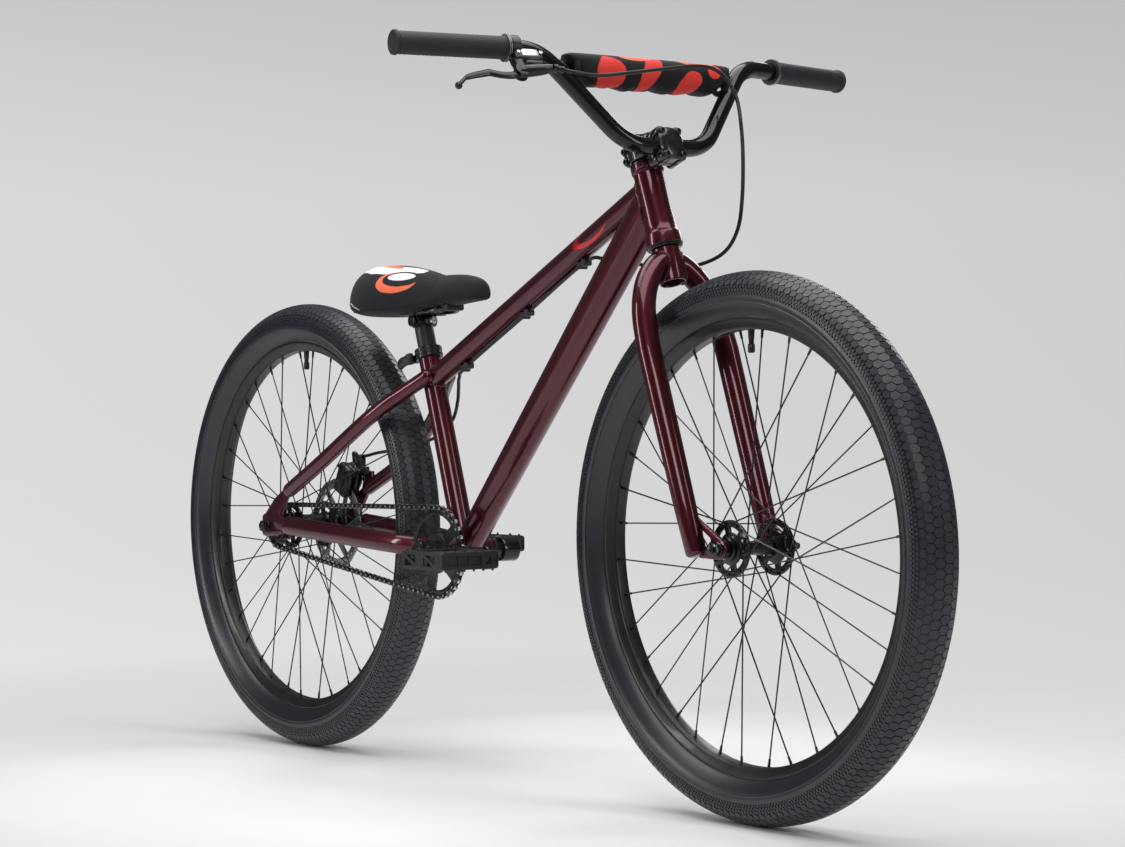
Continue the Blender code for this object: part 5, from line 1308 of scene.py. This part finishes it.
def sprockets():
    """Chainring and cog, each with its hub."""
    windows = [
        arc((0, 0), 0.053, 72 * i - 26, 72 * i + 26, 10) + arc((0, 0), 0.03, 72 * i + 19, 72 * i - 19, 6)
        for i in range(5)
    ]
    first = ROLLERS[0] - BRACKET
    rim_line = [*both_sides([(0.0558, 0.0016), (0.0562, 0.0012)]),
                *both_sides([(0.0542, 0.0016), (0.0538, 0.0012)])[::-1]]
    hub = both_sides([(0.0265, 0.0018), (0.027, 0.0012)]) + [(0.013, -0.0018), (0.013, 0.0018)]
    piece("chainring_plate", [
        toothed_plate(RING_TEETH, math.atan2(first.z, first.x), [circle((0, 0), 0.0125, 32), *windows]),
        turned(rim_line, 96, ALONG_Y), turned(hub, 64, ALONG_Y),
    ], ANODISED, "crankset", "chainring", crease=24, place=at(BRACKET + aside(CHAIN_Y)))
    first = min(ROLLERS, key=lambda p: p.x) - REAR_HUB
    body = [(0.022, 0.006), (0.0225, 0.0055), (0.0225, -0.0045), (0.022, -0.005), (0.0175, -0.005),
            (0.0175, 0.006)]
    piece("cog_teeth", [
        toothed_plate(COG_TEETH, math.atan2(first.z, first.x), [circle((0, 0), 0.0175, 36)]),
        turned(body, 48, ALONG_Y),
    ], DARK_STEEL, "freewheel_cog", "freewheel_cog", crease=24, place=at(REAR_HUB + aside(CHAIN_Y)))


def cranks():
    """Forged arms with bosses, spindle and bolts."""
    boss = [(0.0001, 0.0832), (0.0075, 0.0832), (0.008, 0.0824), (0.0158, 0.0826), (0.017, 0.0814),
            (0.017, 0.06), (0.0164, 0.056), (0.0125, 0.056), (0.0001, 0.056)]
    eye = [(0.0001, 0.0875), (0.015, 0.0875), (0.016, 0.0865), (0.016, 0.0745), (0.015, 0.0735),
           (0.0001, 0.0735)]
    widths = smooth_values([0.0145, 0.0135, 0.013], 10)
    for name, side in SIDES:
        end = -side * CRANK_LENGTH
        path = smooth_path([(0, side * 0.07, 0), (end * 0.5, side * 0.075, 0), (end, side * 0.08, 0)], 10)
        facing = ALONG_Y if side > 0 else UPRIGHT
        meshes = [
            pipe(path, widths, 32, flatten=0.52),
            turned(boss, 56, facing),
            turned(eye, 56, at((end, 0, 0)) @ facing),
            hex_bolt((0, side * 0.0826, 0), ACROSS * side, 0.007, 0.002),
            rod((end, side * 0.08, 0), (end, side * 0.185, 0), 0.006),
            rod((end, side * 0.0875, 0), (end, side * 0.095, 0), 0.0084, 6, edge=0.0006),
        ]
        if side > 0:
            meshes.append(rod((0, -0.081, 0), (0, 0.07, 0), 0.012, 32))
        piece("crank_arm_" + name, meshes, GLOSS_BLACK, "crankset", "crank_" + name, crease=30,
              place=at(BRACKET))


PEDAL_INNER = 0.097
PEDAL_OUTER = 0.188
PEDAL_SPAN = PEDAL_OUTER - PEDAL_INNER
WALL_X = 0.0452


def pedal_wall(half_long, matrix, windows):
    """A moulded wall with cut corners."""
    chamfer = 0.005
    x = half_long - chamfer
    y = 0.0118 - chamfer
    outline = []
    for k, corner in enumerate(((x, y), (-x, y), (-x, -y), (x, -y))):
        outline += arc(corner, chamfer, 90 * k, 90 * k + 90, 4)
    return plate(outline, 0.0072, matrix, windows, 0.0008)


def pedal_walls():
    """End walls of two windows with slanting struts, and long walls of three recesses and a window."""
    struts = []
    for start, end in ((-0.0425, -0.0155), (0.0035, 0.0305)):
        struts.append([(start, -0.007), (end - 0.006, -0.007), (start, 0.004)])
        struts.append([(start + 0.005, 0.007), (end, 0.007), (end, -0.005)])
    recesses = [[(start, -0.0062), (end, -0.0062), (end, 0.0062), (start, 0.0062)]
                for start, end in ((-0.037, -0.02), (-0.0172, -0.002), (0.0008, 0.018))]
    recesses.append([(0.0235, -0.0055), (0.0335, -0.0055), (0.0335, 0.006)])
    floor = [(-0.0385, -0.008), (0.0195, -0.008), (0.0195, 0.008), (-0.0385, 0.008)]
    end_y = PEDAL_SPAN / 2 - 0.0038
    walls = [pedal_wall(0.0488, at((0, y, 0)) @ UPRIGHT, struts) for y in (-end_y, end_y)]
    for x in (-WALL_X, WALL_X):
        place = at((x, 0, 0)) @ Matrix.Rotation(math.pi / 2, 4, "Z") @ UPRIGHT
        walls.append(pedal_wall(PEDAL_SPAN / 2 - 0.0006, place, recesses))
        walls.append(plate(floor, 0.0036, place))
    return walls


def pedals():
    """Moulded platforms: walls, a core with ribs round the barrel, and pins above and below."""
    spikes = [(x, (k - 2.5) * 0.015) for x in (-WALL_X, WALL_X) for k in range(6)]
    spikes += [(x, y) for x in (-0.016, 0.016) for y in (-0.0415, 0.0415)]
    length = PEDAL_SPAN - 0.01
    reach = PEDAL_SPAN / 2 - 0.002
    for name, side in SIDES:
        meshes = [
            *pedal_walls(),
            rod(aside(-side * reach), aside(side * reach), 0.0112, 40, edge=0.0012),
            block((0.026, length, 0.013), (0, 0, 0), 0.003, 3),
            *(block((0.005, length, 0.016), (x, 0, 0), 0.0014) for x in (-0.027, 0.027)),
            *(block((0.082, 0.004, 0.013), (0, y, 0), 0.001) for y in (-0.022, 0.0, 0.022)),
            *(rod((x, y, up * 0.0108), (x, y, up * 0.0144), 0.0021, 8, 0.0012)
              for x, y in spikes for up in (-1, 1)),
        ]
        middle = Vector((-side * CRANK_LENGTH, side * (PEDAL_INNER + PEDAL_OUTER) / 2, 0))
        piece("pedal_body_" + name, meshes, PLASTIC, "pedal_" + name, "pedal_" + name, crease=30,
              place=at(BRACKET + middle))


# Saddle and seatpost

# Stations from tail to nose: x, half width, top height, bottom height
SADDLE_STATIONS = [
    (-0.3262, 0.034, 0.69, 0.657), (-0.32, 0.05, 0.707, 0.653),
    (-0.308, 0.061, 0.721, 0.651), (-0.288, 0.0685, 0.728, 0.65),
    (-0.255, 0.07, 0.7275, 0.6495), (-0.215, 0.061, 0.7205, 0.65),
    (-0.18, 0.0475, 0.7125, 0.652), (-0.15, 0.036, 0.7065, 0.658),
    (-0.122, 0.0285, 0.705, 0.663), (-0.09, 0.024, 0.705, 0.664),
    (-0.065, 0.0205, 0.7015, 0.664), (-0.052, 0.0175, 0.696, 0.664),
    (-0.047, 0.014, 0.689, 0.665), (-0.045, 0.009, 0.683, 0.667),
]


def skin(rings):
    """A closed form bridged over rings of places."""
    builder = bmesh.new()
    loops = []
    for ring in rings:
        made = bmesh.ops.create_circle(builder, cap_ends=False, segments=len(ring), radius=1)["verts"]
        for vertex, place in zip(made, ring):
            vertex.co = place
        loops.append(list({e for v in made for e in v.link_edges}))
    for loop, following in zip(loops, loops[1:]):
        bmesh.ops.bridge_loops(builder, edges=loop + following)
    bmesh.ops.holes_fill(builder, edges=loops[0] + loops[-1])
    bmesh.ops.recalc_face_normals(builder, faces=builder.faces)
    return to_mesh(builder)


def squared(value, power):
    """A cosine or sine that makes a circle squarer."""
    return math.copysign(abs(value) ** power, value)


def saddle_ring(station, count=32):
    """Crowned top and drawn-in flanks: a rounded section with its widest line low down."""
    x, half_width, top, bottom = station
    ring = []
    for i in range(count):
        a = 2 * math.pi * (i + 0.5) / count
        across = squared(math.cos(a), 0.75)
        up = squared(math.sin(a), 0.85)
        waist = bottom + (top - bottom) * 0.22
        height = waist + (top - waist) * up if up > 0 else waist + (waist - bottom) * up
        draw_in = 1 - 0.06 * max(0, -up)
        ring.append(Vector((x, half_width * across * draw_in, height)))
    return ring


def smooth_stations(stations, per_span):
    columns = [smooth_values(list(column), per_span) for column in zip(*stations)]
    return list(zip(*columns))


# Cloth that swells a padded form, and how far each of its points may move
CLOTH = {
    "use_pressure": True, "uniform_pressure_force": 4.0, "quality": 4, "mass": 0.25,
    "tension_stiffness": 12, "compression_stiffness": 12, "shear_stiffness": 8,
    "bending_stiffness": 0.4, "vertex_group_mass": "held",
}
CLOTH_STEPS = 20
CLOTH_REACH = 0.005
FORM_VOXEL = 0.0042


def padded_form(name, mesh, held):
    """Swell a closed form with cloth under pressure, each point moving no further than its reach."""
    thing = bpy.data.objects.new(name, mesh)
    bpy.context.scene.collection.objects.link(thing)
    remesh = thing.modifiers.new("remesh", "REMESH")
    remesh.mode = "VOXEL"
    remesh.voxel_size = FORM_VOXEL
    apply_modifiers(thing)
    start = [vertex.co.copy() for vertex in thing.data.vertices]
    group = thing.vertex_groups.new(name="held")
    for vertex in thing.data.vertices:
        if held(vertex.co):
            group.add([vertex.index], 1.0, "REPLACE")
    cloth = thing.modifiers.new("cloth", "CLOTH")
    for key, value in CLOTH.items():
        setattr(cloth.settings, key, value)
    cloth.settings.effector_weights.gravity = 0
    cloth.collision_settings.use_collision = False
    cloth.point_cache.frame_start = 1
    cloth.point_cache.frame_end = CLOTH_STEPS
    for step in range(1, CLOTH_STEPS + 1):
        bpy.context.scene.frame_set(step)
    apply_modifiers(thing)
    bpy.context.scene.frame_set(1)
    thing.vertex_groups.clear()
    for vertex, place in zip(thing.data.vertices, start):
        travel = vertex.co - place
        if travel.length > CLOTH_REACH:
            vertex.co = place + travel * (CLOTH_REACH / travel.length)
    return thing


def apply_modifiers(thing):
    """Bake an object's modifiers into its mesh."""
    evaluated = thing.evaluated_get(bpy.context.evaluated_depsgraph_get())
    baked = bpy.data.meshes.new_from_object(evaluated)
    old = thing.data
    thing.modifiers.clear()
    thing.data = baked
    bpy.data.meshes.remove(old)


def subdivided(thing):
    """The smoothed mesh of an object, which is removed."""
    smoother = thing.modifiers.new("smoother", "SUBSURF")
    smoother.levels = 1
    smoother.render_levels = 1
    apply_modifiers(thing)
    mesh = thing.data
    thing.data = bpy.data.meshes.new("empty")
    bpy.data.objects.remove(thing, do_unlink=True)
    return mesh


PIPING_LINE = [(-0.313, 0.06, 0.67), (-0.296, 0.069, 0.669), (-0.286, 0.07, 0.662),
               (-0.276, 0.07, 0.653)]
HEM_LINE = [(-0.306, 0.056, 0.65), (-0.255, 0.068, 0.648), (-0.2, 0.056, 0.649),
            (-0.15, 0.036, 0.657), (-0.1, 0.026, 0.662), (-0.06, 0.019, 0.662)]


def saddle_cover():
    """Padded cover with a fold, piping at its tail and a hem."""
    rings = [saddle_ring((x, w * 0.95, top - 0.003, bottom + 0.001))
             for x, w, top, bottom in smooth_stations(SADDLE_STATIONS, 4)]
    form = padded_form("cover_form", skin(rings), lambda p: p.z < 0.66)
    for vertex in form.data.vertices:
        place = vertex.co
        fold = math.exp(-((place.x + 0.118 + 0.55 * (place.z - 0.664)) / 0.0045) ** 2)
        dip = math.exp(-((place.x + 0.142) / 0.022) ** 2) * max(0, (place.z - 0.69) / 0.02)
        vertex.co.y *= 1 - 0.045 * fold
        vertex.co.z -= 0.001 * fold * (place.z > 0.69) + 0.0012 * dip
    mesh = subdivided(form)
    surface = BVHTree.FromPolygons([v.co for v in mesh.vertices], [p.vertices for p in mesh.polygons])
    cover = piece("saddle_cushion", mesh, COVER_CLOTH, "saddle", "saddle_cover", crease=180)

    def on_cover(place):
        hit, normal, _, _ = surface.find_nearest(place)
        return hit + normal * 0.0003

    for name, line, radius, material in (("saddle_piping", PIPING_LINE, 0.001, PIPING),
                                         ("saddle_hem", HEM_LINE, 0.0013, COVER_CLOTH)):
        paths = [smooth_path([(x, side * y, z) for x, y, z in line], 8) for side in (-1, 1)]
        cords = [pipe([on_cover(place) for place in path], radius, 8) for path in paths]
        piece(name, cords, material, "saddle", crease=60)


def saddle_underside():
    """Moulded base with ribs and rail sockets, bent rails, clamp and post."""
    half = [(x, max(w - 0.0105, 0.004)) for x, w, _, _ in smooth_stations(SADDLE_STATIONS[1:9], 3)]
    ribs = [
        *(((0.17, 0.0024, 0.006), (-0.205, y, 0.6615), 0.0006, 1) for y in (-0.009, 0.0, 0.009)),
        *(((0.0024, 0.034, 0.005), (x, 0, 0.662), 0.0006, 1) for x in (-0.27, -0.235, -0.17, -0.14)),
        *(((0.026, 0.015, 0.011), (-0.28, y, 0.66), 0.003, 3) for y in (-0.036, 0.036)),
        ((0.026, 0.03, 0.01), (-0.129, 0, 0.66), 0.003, 3),
    ]
    base = plate(both_sides(half), 0.0024, at((0, 0, 0.6652)), edge=0.0006)
    piece("saddle_shell", [base, *(block(*rib) for rib in ribs)], PLASTIC, "saddle", "saddle_base", crease=24)
    rail = [
        (-0.285, 0.038, 0.6595), (-0.25, 0.0225, 0.6555), (-0.16, 0.022, 0.655),
        (-0.134, 0.015, 0.6575), (-0.126, 0.005, 0.659),
    ]
    wire = smooth_path(rail + [other_side(p) for p in rail[::-1]], 8)
    piece("rail_wire", pipe(wire, 0.0035, 20), DARK_STEEL, "saddle", "saddle_rails")

    clamp_at = on_seat_line(0.3455)
    meshes = [
        rod(clamp_at - aside(0.015), clamp_at + aside(0.015), 0.0108, 40, edge=0.0012),
        block((0.038, 0.018, 0.006), (clamp_at.x, 0.02, 0.6532), 0.0016),
        block((0.038, 0.018, 0.006), (clamp_at.x, -0.02, 0.6532), 0.0016),
        block((0.036, 0.054, 0.004), (clamp_at.x, 0, 0.6587), 0.0014),
        rod(clamp_at - aside(0.02), clamp_at + aside(0.02), 0.004, 20),
    ]
    for side in (-1, 1):
        meshes.append(pin(clamp_at + aside(side * 0.0165), aside(side * 0.004), 0.0085, 32, edge=0.0008))
    piece("rail_clamp", meshes, ANODISED, "saddle", "saddle_clamp", crease=24)
    nose = clamp_at + Vector((0.008, 0, 0.001))
    piece("rail_clamp_boss", pin(nose, AHEAD * 0.017, 0.0078, 32, edge=0.0012), ANODISED, "saddle",
          crease=24)
    piece("rail_clamp_bolt", hex_bolt(nose + AHEAD * 0.0168, AHEAD, 0.0056, 0.005), STEEL, "saddle")
    post = [
        (0.0104, 0.342), (0.0118, 0.3405), (0.0128, 0.338), (0.0134, 0.335), (0.0136, 0.33),
        (0.0136, 0.166), (0.0132, 0.165), (0.0115, 0.165), (0.0115, 0.326), (0.0001, 0.326),
        (0.0001, 0.342),
    ]
    piece("post_tube", turned(post, 64, at(BRACKET) @ SEAT_LEAN), POST_BLACK, "saddle", "seatpost",
          crease=24)


def within(value):
    return min(1.0, max(0.0, value))


def bar_pad():
    """Foam sleeve round the crossbar, swollen between its ends and its underside closure."""
    count = 28
    rings = []
    for t in (-1, -0.985, -0.95, -0.86, -0.7, -0.5, -0.25, 0, 0.25, 0.5, 0.7, 0.86, 0.95, 0.985, 1):
        thick = {1.0: 0.8, 0.985: 0.92, 0.95: 0.98}.get(abs(t), 1.0) * 0.975
        ring = []
        for k in range(count):
            a = 2 * math.pi * k / count
            across = squared(math.cos(a), 0.8)
            up = squared(math.sin(a), 0.8)
            half_length = 0.1205 + 0.015 * up
            ring.append(Vector((CROSSBAR_END.x + 0.0222 * across * thick, t * (half_length - 0.002),
                                CROSSBAR_END.z + 0.0214 * up * thick)))
        rings.append(ring)
    form = padded_form("pad_form", skin(rings), lambda p: False)
    for vertex in form.data.vertices:
        low = within((CROSSBAR_END.z - 0.006 - vertex.co.z) / 0.014)
        front = within((vertex.co.x - CROSSBAR_END.x) / 0.02)
        y = vertex.co.y
        crease = math.sin(95 * y + 1.5) + 0.7 * math.sin(205 * y + 0.4) + 0.4 * math.sin(390 * y)
        vertex.co.z += 0.0011 * low * crease
        vertex.co.x -= 0.0007 * front * (math.sin(60 * y + 900 * (vertex.co.z - CROSSBAR_END.z) * y + 2) + 1)
    pad = piece("crossbar_sleeve", subdivided(form), PAD_CLOTH, "steering", "crossbar_pad", crease=180)
    hem = [(0.0165, 0.003), (0.0195, 0.0022), (0.02, -0.001), (0.018, -0.0035), (0.013, -0.0036),
           (0.012, 0.0), (0.0135, 0.0028)]
    hems = [turned(hem, 40, at((CROSSBAR_END.x, y, CROSSBAR_END.z)) @ ALONG_Y) for y in (-0.1215, 0.1215)]
    piece("pad_end_hems", hems, PAD_CLOTH, "steering", crease=60)


# Studio

def stage_floor():
    """A painted pool of light: paler near the bicycle and darker further out, then fading into the
    surroundings far from it.
    """
    paint = bpy.data.materials.new("floor_painted_light_pool")
    paint.use_nodes = True
    tree = paint.node_tree
    reach = (add(tree, "VectorMath", {0: (add(tree, "TexCoord"), "Object")}, operation="LENGTH"), "Value")
    spread = add(tree, "MapRange", {"Value": reach, "From Min": 0.4, "From Max": 1.0},
                 interpolation_type="SMOOTHSTEP")
    shader = tree.nodes["Principled BSDF"]
    # Painted pool of light: the floor colour darkens with distance from the bicycle
    colour = ramp(tree, (spread, "Result"), ((0, (0.9, 0.91, 0.92)), (1, (0.7, 0.7, 0.71))))
    feed(tree, shader, {"Roughness": 0.7, "Base Color": colour})
    edge = add(tree, "MapRange", {"Value": reach, "From Min": 0.7, "From Max": 2.3},
               interpolation_type="SMOOTHSTEP")
    clear = add(tree, "Math", {0: (edge, "Result"), 1: (add(tree, "LightPath"), "Is Camera Ray")},
                operation="MULTIPLY")
    chosen = add(tree, "MixShader", {0: (clear, "Value"), 1: (shader, "BSDF"),
                                     2: (add(tree, "BsdfTransparent"), "BSDF")})
    feed(tree, tree.nodes["Material Output"], {"Surface": (chosen, "Shader")})
    builder = bmesh.new()
    bmesh.ops.create_grid(builder, x_segments=1, y_segments=1, size=30)
    mesh = to_mesh(builder)
    mesh.materials.append(paint)
    thing = bpy.data.objects.new("floor", mesh)
    thing.location = (0, 0, -0.0005)
    bpy.context.scene.collection.objects.link(thing)


def surroundings():
    """A dim world that lights, and a pale one that the camera sees, with painted light: brighter near the
    horizon and towards one side.
    """
    world = bpy.data.worlds.new("studio")
    bpy.context.scene.world = world
    world.use_nodes = True
    tree = world.node_tree
    place = (add(tree, "TexCoord"), "Generated")
    light = tree.nodes["Background"]
    feed(tree, light, {"Color": (0.8, 0.8, 0.82, 1), "Strength": 0.1})
    height = (add(tree, "SeparateXYZ", {"Vector": place}), "Z")
    spread = add(tree, "MapRange", {"Value": height, "From Min": -0.2, "From Max": 0.2})
    # Painted light on the backdrop: brightest near the horizon and darker higher up
    levels = ((0.12, 0.82), (0.23, 0.73), (0.36, 0.675), (0.5, 0.655), (0.7, 0.64))
    colour = ramp(tree, (spread, "Result"), (
        (0, (0.88, 0.89, 0.9)), (1, (0.47, 0.47, 0.485)),
        *((position, (level, level, level * 1.01)) for position, level in levels),
    ))
    # Painted side light: the backdrop is brighter towards the left of the view
    sideways = add(tree, "VectorMath", {0: place, 1: (0.5926, 0.8055, 0)}, operation="DOT_PRODUCT")
    painted_side_light = add(tree, "MapRange", {"Value": (sideways, "Value"), "From Min": -0.21, "From Max": 0.21,
                                  "To Min": 1.09, "To Max": 0.95})
    painted_backdrop_light = add(tree, "Background", {"Color": colour, "Strength": (painted_side_light, "Result")})
    chosen = add(tree, "MixShader", {0: (add(tree, "LightPath"), "Is Camera Ray"),
                                     1: (light, "Background"), 2: (painted_backdrop_light, "Background")})
    feed(tree, tree.nodes["World Output"], {"Surface": (chosen, "Shader")})


def studio():
    """Pale floor with a painted pool of light, surroundings with painted gradients of light, and soft lamps.
    """
    bpy.context.scene.view_settings.view_transform = "Standard"
    stage_floor()
    surroundings()
    for name, place, target, size, power in (
        ("top_softbox", (0.1, -0.2, 3.0), (0.1, -0.1, 0.3), (4.0, 3.2), 112),
        ("left_softbox", (-1.6, -3.2, 1.6), (0, 0, 0.45), (0.5, 2.2), 36),
        ("front_softbox", (3.4, -2.9, 2.6), (0.4, 0, 0.4), (1.6, 1.0), 28),
        ("right_softbox", (4.3, 1.8, 2.0), (0.2, 0, 0.5), (0.6, 2.4), 25),
        ("back_softbox", (-1.5, 3.2, 2.2), (0, 0, 0.5), (1.6, 1.6), 30),
    ):
        lamp = bpy.data.lights.new(name, "AREA")
        lamp.shape = "RECTANGLE"
        lamp.size, lamp.size_y = size
        lamp.energy = power
        holder = bpy.data.objects.new(name, lamp)
        holder.location = place
        holder.rotation_euler = (Vector(target) - Vector(place)).to_track_quat("-Z", "Y").to_euler()
        bpy.context.scene.collection.objects.link(holder)


def camera():
    """The photograph's viewpoint."""
    azimuth, elevation, roll = 2.5074, -0.0029, -0.0093
    ahead = Vector((math.cos(azimuth) * math.cos(elevation), math.sin(azimuth) * math.cos(elevation),
                    math.sin(elevation)))
    right = ahead.cross(UP).normalized()
    up = right.cross(ahead)
    rolled_right = math.cos(roll) * right + math.sin(roll) * up
    rolled_up = -math.sin(roll) * right + math.cos(roll) * up
    lens = bpy.data.cameras.new("photo_camera")
    lens.lens = 85.72
    lens.sensor_width = 36
    holder = bpy.data.objects.new("photo_camera", lens)
    holder.matrix_world = at((3.0355, -2.1324, 0.5042)) @ axes(rolled_right, rolled_up, -ahead)
    bpy.context.scene.collection.objects.link(holder)
    bpy.context.scene.camera = holder


camera()
studio()
wheels()
frame_tubes()
frame_welds()
stays()
dropouts()
headset()
seat_clamp()
fork()
stem()
handlebar()
grips()
brake_lever()
cable()
caliper()
chain()
sprockets()
cranks()
pedals()
saddle_underside()
saddle_cover()
bar_pad()
